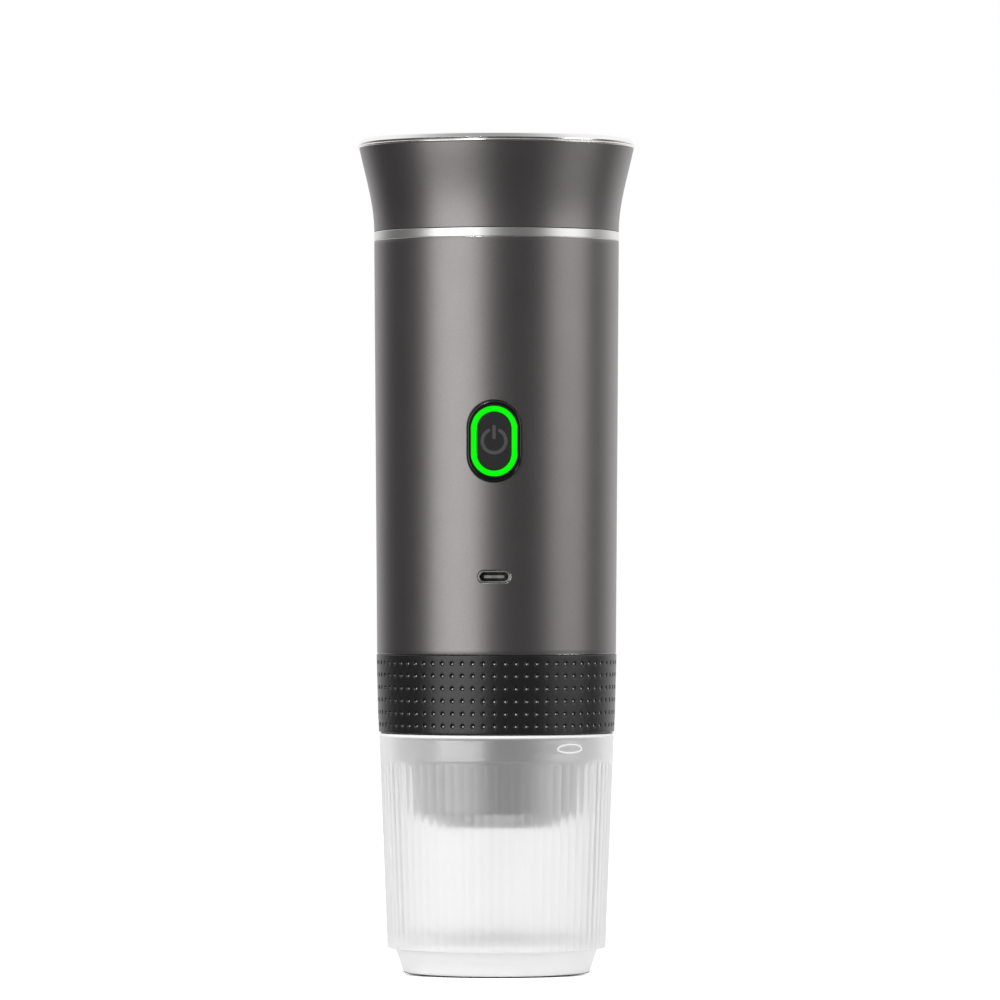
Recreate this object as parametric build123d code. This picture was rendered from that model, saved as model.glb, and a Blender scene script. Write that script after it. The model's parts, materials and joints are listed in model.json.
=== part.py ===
from build123d import *
import math
import os

# Portable espresso maker, in millimetres. Z is up, the foot of the cup stands on Z = 0
# and the button faces -Y.

# Overall size, as marked beside the object
OVERALL_HEIGHT = 240.0
RIM_DIAMETER = 80.0

# Clearances
JOINT_GAP = 0.3        # between stacked pieces that come apart
SEAT_GAP = 0.1         # beside a piece that is seated in another
RUNNING_FIT = 0.05     # beside a shaft that turns in its bore
WIRE_GAP = 0.5         # round a hose or nipple that passes through a plate

# Body shell, a slightly tapered tube
BODY_TOP_DIAMETER = 70.6
BODY_TAPER = 1.7       # wider at the top than at the bottom
BODY_WALL = 1.2
SHELL_EDGE = 0.3

# Polished ring between the body shell and the lid
NECK_RING_HEIGHT = 2.4
NECK_RING_WIDTH = 2.2
NECK_RING_ROUND = 0.4
LID_SEAM = 0.2

# Lid
LID_HEIGHT = 26.7
LID_WALL = 1.3
LID_LIP_WIDTH = 1.0
LID_LIP_HEIGHT = 0.8
RIM_LEAN = 12.0
RIM_TRIM_HEIGHT = 2.6
RIM_TRIM_WIDTH = 2.8
RIM_OVERHANG = 0.4
RIM_EDGE = 0.4
RIM_ROUND = 1.9
RIM_LEDGE_WIDTH = 1.6
RIM_LEDGE_HEIGHT = 0.9
TOP_PLATE_THICKNESS = 1.3
TOP_PLATE_DISH = 0.5
LINER_FLANGE = 1.6
PLUG_DEPTH = 8.0
PLUG_WALL = 1.8
PLUG_FLOOR = 1.8
PLUG_CLEARANCE = 0.5
LID_SEAL_HEIGHT = 2.2
LID_SEAL_DEPTH = 1.0
LID_SEAL_DROP = 3.6    # lid seal above the foot of the plug
LID_SEAL_GAP = 0.2     # lid seal inside the tank
VENT_BORE = 3.0
VENT_HEAD_WIDTH = 1.2
VENT_HEAD_HEIGHT = 1.0
VENT_FLAP_WIDTH = 3.2
VENT_FLAP_HEIGHT = 0.9

# Water tank and its collar
COLLAR_DEPTH = 8.0
COLLAR_WALL = 1.7
TANK_FLANGE_WIDTH = 2.4
TANK_FLANGE_HEIGHT = 1.0
TANK_SEAL_HEIGHT = 1.0
TANK_WALL = 0.8
TANK_FLOOR = 1.0
TANK_ROUND = 2.2

# Heater under the tank
HEATER_THICKNESS = 3.0
HEATER_INSET = 2.9
INSULATOR_WIDTH = 1.8
INSULATOR_HEIGHT = 3.0
PROBE_DIAMETER = 4.4
PROBE_HEIGHT = 2.2
FUSE_LENGTH = 8.0
FUSE_WIDTH = 3.0
FUSE_HEIGHT = 2.2

# Battery cells, stood round the pump
CELL_SHARE = 0.5534    # cell diameter as a share of the body shell's inner radius
CELL_LENGTH = 65.0
CELL_ROUND = 0.8
CELL_GAP = 1.6         # cells inside the body shell
CELL_ANGLES = (90.0, 210.0, 330.0)
CELL_POCKET = 2.0
CONTACT_DIAMETER = 10.0
CONTACT_THICKNESS = 0.3

# Chassis plates, posts and screws
CHASSIS_THICKNESS = 4.0
CHASSIS_GAP = 0.3
WIRE_WINDOW = 16.0
POST_DIAMETER = 5.2
POST_INSET = 0.5       # posts inside the edge of the plate
POST_ANGLES = (10.0, 50.0, 130.0, 170.0)
SCREW_DIAMETER = 2.0
SCREW_HEAD_DIAMETER = 3.8
SCREW_HEAD_HEIGHT = 1.4
SCREW_BITE = 6.0       # thread length in the piece that it holds

# Control board and what it carries
BOARD_WIDTH = 26.0
BOARD_THICKNESS = 1.6
CHIP_HEIGHT = 1.2
CHIP_SIZE = 5.0
LED_SIZE = 1.6
LED_HEIGHT = 0.8

# Power button
BUTTON_DROP = 9.3      # button below the upper chassis plate
BUTTON_TRAVEL = 0.8
BEZEL_WIDTH = 15.5
BEZEL_LENGTH = 23.4
BEZEL_PROUD = 0.6
BEZEL_ROUND = 0.5
BEZEL_FLANGE_WIDTH = 1.2
BEZEL_FLANGE_HEIGHT = 1.0
BEZEL_FRAME = 1.05     # bezel beside the light ring
BEZEL_END_FRAME = 1.55  # bezel above and below the light ring
LIGHT_RING_WIDTH = 1.7
LIGHT_RING_RECESS = 0.1
LIGHT_FLANGE_WIDTH = 1.0
LIGHT_FLANGE_HEIGHT = 1.0
BUTTON_GAP = 0.15
BUTTON_RECESS = 0.25
BUTTON_EDGE = 0.15
BUTTON_FLANGE_WIDTH = 0.9
BUTTON_FLANGE_HEIGHT = 1.0
BUTTON_POST_DIAMETER = 3.6
BUTTON_POST_LENGTH = 0.5
SYMBOL_DIAMETER = 7.7
SYMBOL_STROKE = 1.0
SYMBOL_GAP_ANGLE = 56.0
SYMBOL_BAR_LENGTH = 4.1
SYMBOL_THICKNESS = 0.12
SWITCH_SIZE = 6.0
SWITCH_HEIGHT = 1.8
PLUNGER_DIAMETER = 3.0
PLUNGER_LENGTH = 1.4

# Charging inlet
INLET_DROP = 38.5      # charging inlet below the button
INLET_SLEEVE_WIDTH = 9.1
INLET_SLEEVE_THICKNESS = 3.4
INLET_SLEEVE_WALL = 0.4
INLET_RECESS = 0.15
INLET_CUTOUT_GAP = 0.15
INLET_TONGUE_WIDTH = 5.8
INLET_TONGUE_THICKNESS = 0.8
INLET_TONGUE_SETBACK = 0.5
INLET_BASE_DEPTH = 2.2

# Gear pump and its motor
MOTOR_GAP = 1.0        # motor inside the ring of cells
MOTOR_LENGTH = 29.0
MOTOR_EDGE = 0.8
END_BELL_HEIGHT = 3.5
SHAFT_DIAMETER = 2.0
SHAFT_REACH = 14.0     # shaft inside the motor
GEAR_TEETH = 12
GEAR_WIDTH = 8.0
GEAR_END_GAP = 0.1
GEAR_TIP_GAP = 0.12
GEAR_BACKLASH = 0.10
PRESSURE_ANGLE = 25.0
ADDENDUM = 0.85        # tooth height above the pitch circle, in modules
DEDENDUM = 1.10
PUMP_WALL = 1.5
PUMP_FLOOR = 2.4
PUMP_COVER = 2.6
PUMP_PORT_BORE = 2.0
IDLER_ANGLE = 60.0
IDLER_PIN_DIAMETER = 1.8
PIN_SEAT = 1.0
PUMP_SCREW_SPREAD = 50.0
PUMP_SCREW_INSET = 2.4
OUTLET_OFFSET = 2.8

# Hose from the tank to the pump
NIPPLE_DIAMETER = 3.8
NIPPLE_LENGTH = 5.0
HOSE_BORE = 4.0
HOSE_WALL = 1.0
HOSE_STANDOFF = 8.0
HOSE_BEND = 5.0

# Wires
WIRE_DIAMETER = 1.3
WIRE_BEND = 3.0
MOTOR_WIRE_SPREAD = 4.0
HEATER_WIRE_SPREAD = 6.4

# Grip band: a rubber sleeve on a threaded locking ring
GRIP_HEIGHT = 22.3
GRIP_STEP = 0.3        # wider than the body shell above it
GRIP_TAPER = 1.2
GRIP_SLEEVE = 1.3
GRIP_ROUND = 0.5
LOCK_RING_WALL = 1.5
LOCK_FLANGE = 2.3
LOCK_PLAY = 0.2

# Thread between the locking ring and the neck of the bulkhead
THREAD_LEAD = 6.0
THREAD_DEPTH = 1.1
THREAD_ROOT = 2.0
THREAD_CREST = 1.2
THREAD_CLEARANCE = 0.3
THREAD_FLANK_GAP = 0.2
THREAD_RUN_IN = 2.2

# Bulkhead that closes the body shell from below
BULKHEAD_THICKNESS = 4.0
BULKHEAD_INSET = 0.4
BULKHEAD_WEB = 2.0     # web below the disc, inside the neck
NECK_WALL = 3.4
GASKET_HEIGHT = 2.0
GASKET_SQUEEZE_GAP = 0.1
SCREEN_DROP = 10.0     # shower screen below the web
SCREEN_THICKNESS = 1.0
SCREEN_HOLE = 1.2
SCREEN_RING_SHARES = (0.23, 0.42, 0.84)
SCREEN_RING_COUNTS = (10, 18, 30)
BOSS_DIAMETER = 6.0
BOSS_INSET = 9.4       # bosses inside the neck
BULKHEAD_SCREW_INSET = 7.4

# Check valve in the outlet of the pump
SOCKET_DEPTH = 3.2
VALVE_BORE = 5.2
VALVE_BOSS_WALL = 1.6
VALVE_SEAT = 1.0
VALVE_DISC_DIAMETER = 4.4
VALVE_DISC_HEIGHT = 1.4
VALVE_STEM_DIAMETER = 1.6
VALVE_STEM_LENGTH = 2.6
VALVE_SEAT_GAP = 0.1
VALVE_TRAVEL = 1.0
SPRING_WIRE = 0.45
SPRING_DIAMETER = 3.2  # to the middle of the wire
SPRING_TURNS = 4.0
SPRING_LENGTH = 4.4
RETAINER_HEIGHT = 1.0
RETAINER_BORE = 1.8

# Brew chamber, basket and outlet housing below the grip band
CHAMBER_FLANGE_HEIGHT = 2.5
CHAMBER_FLANGE_STEP = 1.3
CHAMBER_COLLAR_STEP = 1.6
CHAMBER_WALL = 1.4
CHAMBER_FLOOR = 1.5
CHAMBER_OUTLET = 3.0
BASKET_RIM_GAP = 0.6   # basket's rim inside the neck
BASKET_DEPTH = 22.0
BASKET_SHEET = 0.6
BASKET_FLANGE_WIDTH = 4.9
BASKET_GAP = 0.4
BASKET_RECESS = 1.3
BASKET_HOLE = 1.0
BASKET_RING_SHARES = (0.24, 0.48, 0.72)
BASKET_RING_COUNTS = (8, 16, 24)
HOLDER_DROP = 7.6      # underside of the outlet housing below the brew chamber
HOLDER_INSET = 3.5     # holder inside the collar
HOLDER_TAPER = 2.5
HOLDER_WALL = 1.4
HOLDER_FLOOR = 1.6
HOLDER_ROUND = 5.0
HOLDER_OUTLET = 6.0
PLATE_RADIUS_SHARE = 0.65  # outlet plate as a share of the holder's foot
PLATE_LEDGE = 2.0
PLATE_THICKNESS = 1.4
COLLAR_HEIGHT = 7.9
COLLAR_SHELF = 1.4
COLLAR_EDGE = 0.5
CUP_SEAL_DIAMETER = 1.2
CUP_SEAL_PROUD = 0.3
CUP_SEAL_DROP = 1.0    # cup seal below the lip of the cup

# Cup
CUP_SHARE = 0.2871     # height of the cup as a share of the overall height
CUP_STEP = 0.2         # narrower than the grip band above it
CUP_WALL = 2.6
CUP_FLOOR = 4.0
CUP_INNER_ROUND = 6.0
CUP_LIP_ROUND = 0.5
CUP_CLEARANCE = 0.5
FLUTE_COUNT = 72
FLUTE_DEPTH = 0.45
FLUTE_BOTTOM = 7.0
CUP_BAND = 7.9         # plain band under the lip
CUP_TAPER = 4.8
CUP_SHOULDER = 4.6     # foot narrower than the fluted wall above it
CUP_FOOT_TAPER = 4.6
CUP_FOOT_RECESS = 0.8
CUP_FOOT_RIM = 3.0
MARK_ANGLE = -50.5     # raised oval, to the right of the button
MARK_DROP = 3.9        # raised oval below the lip
MARK_LENGTH = 8.6
MARK_WIDTH = 2.8
MARK_PROUD = 0.35

# Diameters of the outer stack, from the body shell down
body_bottom_diameter = BODY_TOP_DIAMETER - BODY_TAPER
grip_top_diameter = body_bottom_diameter + GRIP_STEP
grip_bottom_diameter = grip_top_diameter - GRIP_TAPER
cup_top_diameter = grip_bottom_diameter - CUP_STEP
flute_end_diameter = cup_top_diameter - CUP_TAPER
cup_base_diameter = flute_end_diameter - CUP_SHOULDER
cup_foot_diameter = cup_base_diameter - CUP_FOOT_TAPER

# Heights of the outer stack
cup_height = CUP_SHARE * OVERALL_HEIGHT
flute_top = cup_height - CUP_BAND
mark_height = cup_height - MARK_DROP
grip_bottom = cup_height + JOINT_GAP
grip_top = grip_bottom + GRIP_HEIGHT
shell_bottom = grip_top + JOINT_GAP
lid_bottom = OVERALL_HEIGHT - LID_HEIGHT
neck_ring_top = lid_bottom - LID_SEAM
shell_top = neck_ring_top - NECK_RING_HEIGHT


def taper(z, z_low, d_low, z_high, d_high):
    """Radius at height z of a straight taper between two diameters."""
    share = (z - z_low) / (z_high - z_low)
    return (d_low + share * (d_high - d_low)) / 2


def shell_radius(z):
    """Outer radius of the body shell at height z."""
    return taper(z, shell_bottom, body_bottom_diameter, shell_top, BODY_TOP_DIAMETER)


def shell_bore(z):
    """Inner radius of the body shell at height z."""
    return shell_radius(z) - BODY_WALL


def grip_radius(z):
    """Outer radius of the rubber sleeve at height z."""
    return taper(z, grip_bottom, grip_bottom_diameter, grip_top, grip_top_diameter)


def cup_radius(z):
    """Outer radius of the cup's wall, over the crests of the flutes, at height z."""
    return taper(z, FLUTE_BOTTOM, flute_end_diameter, cup_height, cup_top_diameter)


def cup_bore(z):
    """Inner radius of the cup's wall at height z."""
    return cup_radius(z) - CUP_WALL


# Radii of the locking ring, the neck and the brew chamber, from the sleeve inwards
lock_bore = grip_radius(grip_bottom) - GRIP_SLEEVE - LOCK_RING_WALL
neck_crest = lock_bore - THREAD_CLEARANCE
neck_core = neck_crest - THREAD_DEPTH
neck_bore = neck_core - NECK_WALL
chamber_flange_radius = lock_bore - JOINT_GAP
chamber_neck_radius = chamber_flange_radius - CHAMBER_FLANGE_STEP
chamber_step_radius = chamber_neck_radius - CHAMBER_COLLAR_STEP
lock_flange_bore = chamber_neck_radius + JOINT_GAP

# Heights of the brew chamber, the gasket and the bulkhead
lock_flange_top = grip_bottom + LOCK_FLANGE
chamber_flange_bottom = lock_flange_top + LOCK_PLAY
chamber_flange_top = chamber_flange_bottom + CHAMBER_FLANGE_HEIGHT
gasket_bottom = chamber_flange_top + GASKET_SQUEEZE_GAP
neck_bottom = gasket_bottom + GASKET_HEIGHT
bulkhead_bottom = shell_bottom + BULKHEAD_INSET
bulkhead_top = bulkhead_bottom + BULKHEAD_THICKNESS
web_bottom = bulkhead_bottom - BULKHEAD_WEB
screen_top = web_bottom - SCREEN_DROP
screen_bottom = screen_top - SCREEN_THICKNESS
thread_turns = (bulkhead_bottom - neck_bottom - 2 * THREAD_RUN_IN) / THREAD_LEAD

# Heights of the chassis, the cells, the heater and the tank
lower_top = bulkhead_top + CHASSIS_THICKNESS
cell_bottom = lower_top - CELL_POCKET + CONTACT_THICKNESS
cell_top = cell_bottom + CELL_LENGTH
upper_bottom = cell_top + CONTACT_THICKNESS - CELL_POCKET
upper_top = upper_bottom + CHASSIS_THICKNESS
button_height = upper_bottom - BUTTON_DROP
inlet_height = button_height - INLET_DROP
heater_bottom = upper_top + INSULATOR_HEIGHT
tank_bottom = heater_bottom + HEATER_THICKNESS
collar_top = neck_ring_top - JOINT_GAP
flange_bottom = collar_top - TANK_FLANGE_HEIGHT
seal_bottom = flange_bottom - TANK_SEAL_HEIGHT
collar_bottom = shell_top - COLLAR_DEPTH

# Radii of the tank and its collar, from the polished ring inwards
ring_bore = BODY_TOP_DIAMETER / 2 - NECK_RING_WIDTH
collar_neck_radius = ring_bore - SEAT_GAP
tank_flange_radius = collar_neck_radius - COLLAR_WALL - SEAT_GAP
tank_radius = tank_flange_radius - TANK_FLANGE_WIDTH
tank_bore = tank_radius - TANK_WALL
heater_radius = tank_radius - HEATER_INSET

# The cells stand against the shell, and the motor fills the room between them
cell_diameter = CELL_SHARE * shell_bore(shell_bottom)
cell_circle = shell_bore(shell_bottom) - CELL_GAP - cell_diameter / 2
motor_radius = cell_circle - cell_diameter / 2 - MOTOR_GAP
post_circle = shell_bore(shell_bottom) - CHASSIS_GAP - POST_INSET - POST_DIAMETER / 2

# Gear pair, as large as the pump housing holds
gear_pitch_radius = (motor_radius - PUMP_WALL - GEAR_TIP_GAP) / (3 + 2 * ADDENDUM / GEAR_TEETH)
gear_module = 2 * gear_pitch_radius / GEAR_TEETH
gear_tip_radius = gear_pitch_radius + ADDENDUM * gear_module
idler_x = 2 * gear_pitch_radius * math.cos(math.radians(IDLER_ANGLE))
idler_y = 2 * gear_pitch_radius * math.sin(math.radians(IDLER_ANGLE))
gear_bottom = lower_top + PUMP_FLOOR + GEAR_END_GAP
gear_top = gear_bottom + GEAR_WIDTH
cover_bottom = gear_top + GEAR_END_GAP
cover_top = cover_bottom + PUMP_COVER
motor_top = cover_top + MOTOR_LENGTH
end_bell_top = motor_top + END_BELL_HEIGHT

# Suction line through the mesh of the gears, square to their line of centres
suction_angle = IDLER_ANGLE + 90
suction_x = math.cos(math.radians(suction_angle))
suction_y = math.sin(math.radians(suction_angle))
hose_reach = motor_radius + HOSE_STANDOFF
hose_x = idler_x / 2 + hose_reach * suction_x
hose_y = idler_y / 2 + hose_reach * suction_y
port_x = idler_x / 2 - OUTLET_OFFSET * suction_x
port_y = idler_y / 2 - OUTLET_OFFSET * suction_y
port_height = (gear_bottom + gear_top) / 2
nipple_bottom = upper_bottom - NIPPLE_LENGTH

# Faces of the button stack, measured along Y
bezel_face = -(shell_radius(button_height) + BEZEL_PROUD)
bezel_reach = BEZEL_WIDTH / 2 + BEZEL_FLANGE_WIDTH
bezel_flange_face = -(math.sqrt(shell_bore(button_height - BEZEL_LENGTH) ** 2 - bezel_reach ** 2) - SEAT_GAP)
bezel_back = bezel_flange_face + BEZEL_FLANGE_HEIGHT
light_back = bezel_back + LIGHT_FLANGE_HEIGHT
light_width = BEZEL_WIDTH - 2 * BEZEL_FRAME
light_length = BEZEL_LENGTH - 2 * BEZEL_END_FRAME
cap_width = light_width - 2 * LIGHT_RING_WIDTH - 2 * BUTTON_GAP
cap_length = light_length - 2 * LIGHT_RING_WIDTH - 2 * BUTTON_GAP
cap_face = bezel_face + BUTTON_RECESS
cap_back = light_back + BUTTON_FLANGE_HEIGHT
plunger_front = cap_back + BUTTON_POST_LENGTH
switch_face = plunger_front + SEAT_GAP + BUTTON_TRAVEL
board_face = switch_face + SWITCH_HEIGHT


def turned(points, rounds=()):
    """Solid turned about Z from (radius, height) points, with (point number, radius) corners rounded."""
    corners = [Vector(r, 0, z) for r, z in points]
    face = Face(Wire.make_polygon(corners, close=True))
    for number, radius in rounds:
        nearest = face.vertices().sort_by_distance(corners[number])[0]
        face = face.fillet_2d(radius, [nearest])
    return revolve(face, Axis.Z)


def tube(outer, inner, low, high):
    """Plain ring between two radii and two heights."""
    return turned([(inner, low), (outer, low), (outer, high), (inner, high)])


def rod(radius, low, high, x=0.0, y=0.0):
    """Upright round bar between two heights."""
    return Pos(x, y, (low + high) / 2) * Cylinder(radius, high - low)


def polar(radius, angle):
    """X and Y of a point at a radius and an angle in degrees."""
    return radius * math.cos(math.radians(angle)), radius * math.sin(math.radians(angle))


def stadium(width, length, front, back, height):
    """Upright slot shape, facing -Y, between two Y values and centred at a height."""
    plane = Plane(origin=(0, front, height), x_dir=(1, 0, 0), z_dir=(0, 1, 0))
    return extrude(plane * SlotOverall(length, width, rotation=90), back - front)


def flat_slot(width, thickness, front, back, height):
    """Slot shape lying on its side, facing -Y, between two Y values and centred at a height."""
    plane = Plane(origin=(0, front, height), x_dir=(1, 0, 0), z_dir=(0, 1, 0))
    return extrude(plane * SlotOverall(width, thickness), back - front)


def block(x_size, front, back, z_size, x=0.0, z=0.0):
    """Box between two Y values, centred at x and z."""
    return Pos(x, (front + back) / 2, z) * Box(x_size, back - front, z_size)


def screw(low, high, head_up, x, y):
    """Pan-head screw whose shank runs between two heights, with its head above or below."""
    shank = rod(SCREW_DIAMETER / 2, low, high, x, y)
    if head_up:
        return shank + rod(SCREW_HEAD_DIAMETER / 2, high, high + SCREW_HEAD_HEIGHT, x, y)
    return shank + rod(SCREW_HEAD_DIAMETER / 2, low - SCREW_HEAD_HEIGHT, low, x, y)


def wire(points, bend, diameter, bore=0.0):
    """Round wire or hose along a bent path."""
    path = FilletPolyline(*points, radius=bend)
    start = Plane(origin=path @ 0, z_dir=path % 0)
    solid = sweep(start * Circle(diameter / 2), path=path)
    if bore:
        solid = solid - sweep(start * Circle(bore / 2), path=path)
    return solid


def thread_ridge(radius, inward, z_start, turns):
    """Helical ridge on a cylinder, sunk a little into it so that the two join."""
    helix = Helix(pitch=THREAD_LEAD, height=THREAD_LEAD * turns, radius=radius, center=(0, 0, z_start))
    section = Plane(origin=helix @ 0, x_dir=(1, 0, 0), z_dir=helix % 0)
    side = -1 if inward else 1
    sink = THREAD_CLEARANCE
    root = THREAD_ROOT / 2 + sink * (THREAD_ROOT - THREAD_CREST) / (2 * THREAD_DEPTH)
    crest = THREAD_CREST / 2
    outline = Polyline(
        (-side * sink, -root), (side * THREAD_DEPTH, -crest),
        (side * THREAD_DEPTH, crest), (-side * sink, root), close=True)
    return sweep(section * make_face(outline), path=helix, is_frenet=True)


def gear(turn, bore):
    """Spur gear with involute flanks on the Z axis, turned by an angle in degrees."""
    base = gear_pitch_radius * math.cos(math.radians(PRESSURE_ANGLE))
    root = gear_pitch_radius - DEDENDUM * gear_module
    flank_steps = 5

    def involute(radius):
        lean = math.acos(min(1.0, base / radius))
        return math.tan(lean) - lean

    half_tooth = math.pi / (2 * GEAR_TEETH) - GEAR_BACKLASH / (2 * gear_pitch_radius)
    half_root = half_tooth + involute(gear_pitch_radius)
    flank = [(root, half_root)]
    for step in range(flank_steps + 1):
        radius = base + (gear_tip_radius - base) * step / flank_steps
        flank.append((radius, half_root - involute(radius)))
    points = []
    for tooth in range(GEAR_TEETH):
        middle = math.radians(turn) + 2 * math.pi * tooth / GEAR_TEETH
        rising = [(r, middle - a) for r, a in flank]
        falling = [(r, middle + a) for r, a in reversed(flank)]
        points += [(r * math.cos(a), r * math.sin(a)) for r, a in rising + falling]
    blank = extrude(make_face(Polyline(*points, close=True)), GEAR_WIDTH)
    return Pos(0, 0, gear_bottom) * (blank - Pos(0, 0, GEAR_WIDTH / 2) * Cylinder(bore / 2, GEAR_WIDTH))


def holes(reach, shares, counts, diameter, low, high):
    """Rings of small holes, each at a share of a reach and with its own count."""
    cutters = []
    for share, count in zip(shares, counts):
        for number in range(count):
            x, y = polar(share * reach, 360 * (number + 0.5) / count)
            cutters.append(rod(diameter / 2, low, high, x, y))
    return cutters


# Lid

rim_trim_bottom = OVERALL_HEIGHT - RIM_TRIM_HEIGHT
rim_bore = RIM_DIAMETER / 2 - RIM_TRIM_WIDTH
plate_seat = rim_trim_bottom + RIM_LEDGE_HEIGHT
lip_top = lid_bottom + LID_LIP_HEIGHT
plug_radius = tank_bore - PLUG_CLEARANCE
plug_bottom = collar_top - PLUG_DEPTH
plug_floor_top = plug_bottom + PLUG_FLOOR
lid_seal_bottom = plug_bottom + LID_SEAL_DROP
lid_seal_top = lid_seal_bottom + LID_SEAL_HEIGHT
lid_groove = plug_radius - LID_SEAL_DEPTH


def lid_shell():
    """Flared outer wall, upright at its foot and leaning out under the rim, with a lip turned in below."""
    foot = BODY_TOP_DIAMETER / 2
    top = RIM_DIAMETER / 2 - RIM_OVERHANG
    lean = math.radians(RIM_LEAN)
    ends = [(0, 0, 1), (math.sin(lean), 0, math.cos(lean))]
    outside = Spline((foot, 0, lid_bottom), (top, 0, rim_trim_bottom), tangents=ends)
    inside = Spline((foot - LID_WALL, 0, lip_top), (top - LID_WALL, 0, rim_trim_bottom), tangents=ends)
    lip_bore = foot - LID_WALL - LID_LIP_WIDTH
    edge = Line((top, 0, rim_trim_bottom), (top - LID_WALL, 0, rim_trim_bottom))
    lip = Polyline((foot - LID_WALL, 0, lip_top), (lip_bore, 0, lip_top), (lip_bore, 0, lid_bottom),
                   (foot, 0, lid_bottom))
    return revolve(make_face([outside, edge, inside, lip]), Axis.Z)


def lid_rim_trim():
    """Polished rim with a rounded edge and a ledge that carries the top plate."""
    rim = RIM_DIAMETER / 2
    points = [(rim_bore - RIM_LEDGE_WIDTH, rim_trim_bottom), (rim, rim_trim_bottom), (rim, OVERALL_HEIGHT),
              (rim_bore, OVERALL_HEIGHT), (rim_bore, plate_seat), (rim_bore - RIM_LEDGE_WIDTH, plate_seat)]
    return turned(points, [(2, RIM_ROUND), (1, RIM_EDGE)])


def lid_top_plate():
    """Disc in the rim, a little hollow on top."""
    radius = rim_bore - SEAT_GAP
    top = plate_seat + TOP_PLATE_THICKNESS
    sag = TOP_PLATE_DISH
    sides = Polyline((0, 0, top - sag), (0, 0, plate_seat), (radius, 0, plate_seat), (radius, 0, top))
    bowl = TangentArc((0, 0, top - sag), (radius, 0, top), tangent=(1, 0, 0))
    return revolve(make_face([sides, bowl]), Axis.Z)


def lid_liner():
    """Moulded plug on the lip of the lid, with a groove for its seal and a vent hole in its floor."""
    flange_radius = BODY_TOP_DIAMETER / 2 - LID_WALL - SEAT_GAP
    flange_top = lip_top + LINER_FLANGE
    plug_inside = plug_radius - LID_SEAL_DEPTH - PLUG_WALL
    points = [(VENT_BORE / 2, plug_bottom), (plug_radius, plug_bottom), (plug_radius, lid_seal_bottom),
              (lid_groove, lid_seal_bottom), (lid_groove, lid_seal_top), (plug_radius, lid_seal_top),
              (plug_radius, lip_top), (flange_radius, lip_top), (flange_radius, flange_top),
              (plug_inside, flange_top), (plug_inside, plug_floor_top), (VENT_BORE / 2, plug_floor_top)]
    return turned(points)


def lid_seal():
    """Soft ring in the groove of the plug."""
    outer = tank_bore - LID_SEAL_GAP
    inner = lid_groove + RUNNING_FIT
    points = [(inner, lid_seal_bottom), (outer, lid_seal_bottom),
              (outer, lid_seal_top), (inner, lid_seal_top)]
    return turned(points, [(1, LID_SEAL_HEIGHT / 3), (2, LID_SEAL_HEIGHT / 3)])


def lid_vent_valve():
    """Umbrella valve that lets air into the tank."""
    stem = VENT_BORE / 2 - SEAT_GAP
    head = VENT_BORE / 2 + VENT_HEAD_WIDTH
    flap = VENT_BORE / 2 + VENT_FLAP_WIDTH
    points = [(0, plug_bottom - VENT_FLAP_HEIGHT), (flap, plug_bottom - VENT_FLAP_HEIGHT / 2),
              (flap, plug_bottom), (stem, plug_bottom), (stem, plug_floor_top), (head, plug_floor_top),
              (head, plug_floor_top + VENT_HEAD_HEIGHT), (0, plug_floor_top + VENT_HEAD_HEIGHT)]
    return turned(points)


# Body shell, polished ring and water tank

def body_shell():
    """Tapered tube with openings for the button and the charging inlet."""
    low = shell_radius(shell_bottom)
    high = shell_radius(shell_top)
    points = [(low - BODY_WALL, shell_bottom), (low, shell_bottom), (high, shell_top),
              (high - BODY_WALL, shell_top)]
    wall = turned(points, [(1, SHELL_EDGE), (2, SHELL_EDGE)])
    reach = BODY_TOP_DIAMETER
    button = stadium(BEZEL_WIDTH + 2 * SEAT_GAP, BEZEL_LENGTH + 2 * SEAT_GAP, -reach, 0, button_height)
    room = 2 * INLET_CUTOUT_GAP
    inlet = flat_slot(INLET_SLEEVE_WIDTH + room, INLET_SLEEVE_THICKNESS + room, -reach, 0, inlet_height)
    return wall - button - inlet


def neck_ring():
    """Polished ring on the top edge of the body shell."""
    outer = BODY_TOP_DIAMETER / 2
    points = [(ring_bore, shell_top), (outer, shell_top), (outer, neck_ring_top), (ring_bore, neck_ring_top)]
    return turned(points, [(1, NECK_RING_ROUND), (2, NECK_RING_ROUND)])


def tank_collar():
    """Moulded collar in the mouth of the body shell, which carries the tank by its flange."""
    outer = shell_bore(collar_bottom) - SEAT_GAP
    bore = tank_radius + SEAT_GAP
    recess = tank_flange_radius + SEAT_GAP
    points = [(bore, collar_bottom), (outer, collar_bottom), (outer, shell_top),
              (collar_neck_radius, shell_top), (collar_neck_radius, collar_top),
              (recess, collar_top), (recess, seal_bottom), (bore, seal_bottom)]
    return turned(points)


def tank_seal():
    """Flat gasket under the flange of the tank."""
    return tube(tank_flange_radius, tank_radius + SEAT_GAP, seal_bottom, flange_bottom)


def water_tank():
    """Drawn tank with a flange at its mouth and an outlet nipple below."""
    floor_top = tank_bottom + TANK_FLOOR
    points = [(0, tank_bottom), (tank_radius, tank_bottom), (tank_radius, flange_bottom),
              (tank_flange_radius, flange_bottom), (tank_flange_radius, collar_top), (tank_bore, collar_top),
              (tank_bore, floor_top), (0, floor_top)]
    tank = turned(points, [(1, TANK_ROUND), (6, TANK_ROUND - TANK_WALL)])
    nipple = rod(NIPPLE_DIAMETER / 2, nipple_bottom, floor_top, hose_x, hose_y)
    bore = rod(PUMP_PORT_BORE / 2, nipple_bottom, floor_top, hose_x, hose_y)
    return tank + nipple - bore


# Heater

def heater_plate():
    """Heating plate against the floor of the tank."""
    plate = rod(heater_radius, heater_bottom, tank_bottom)
    return plate - rod(NIPPLE_DIAMETER / 2 + WIRE_GAP, heater_bottom, tank_bottom, hose_x, hose_y)


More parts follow.
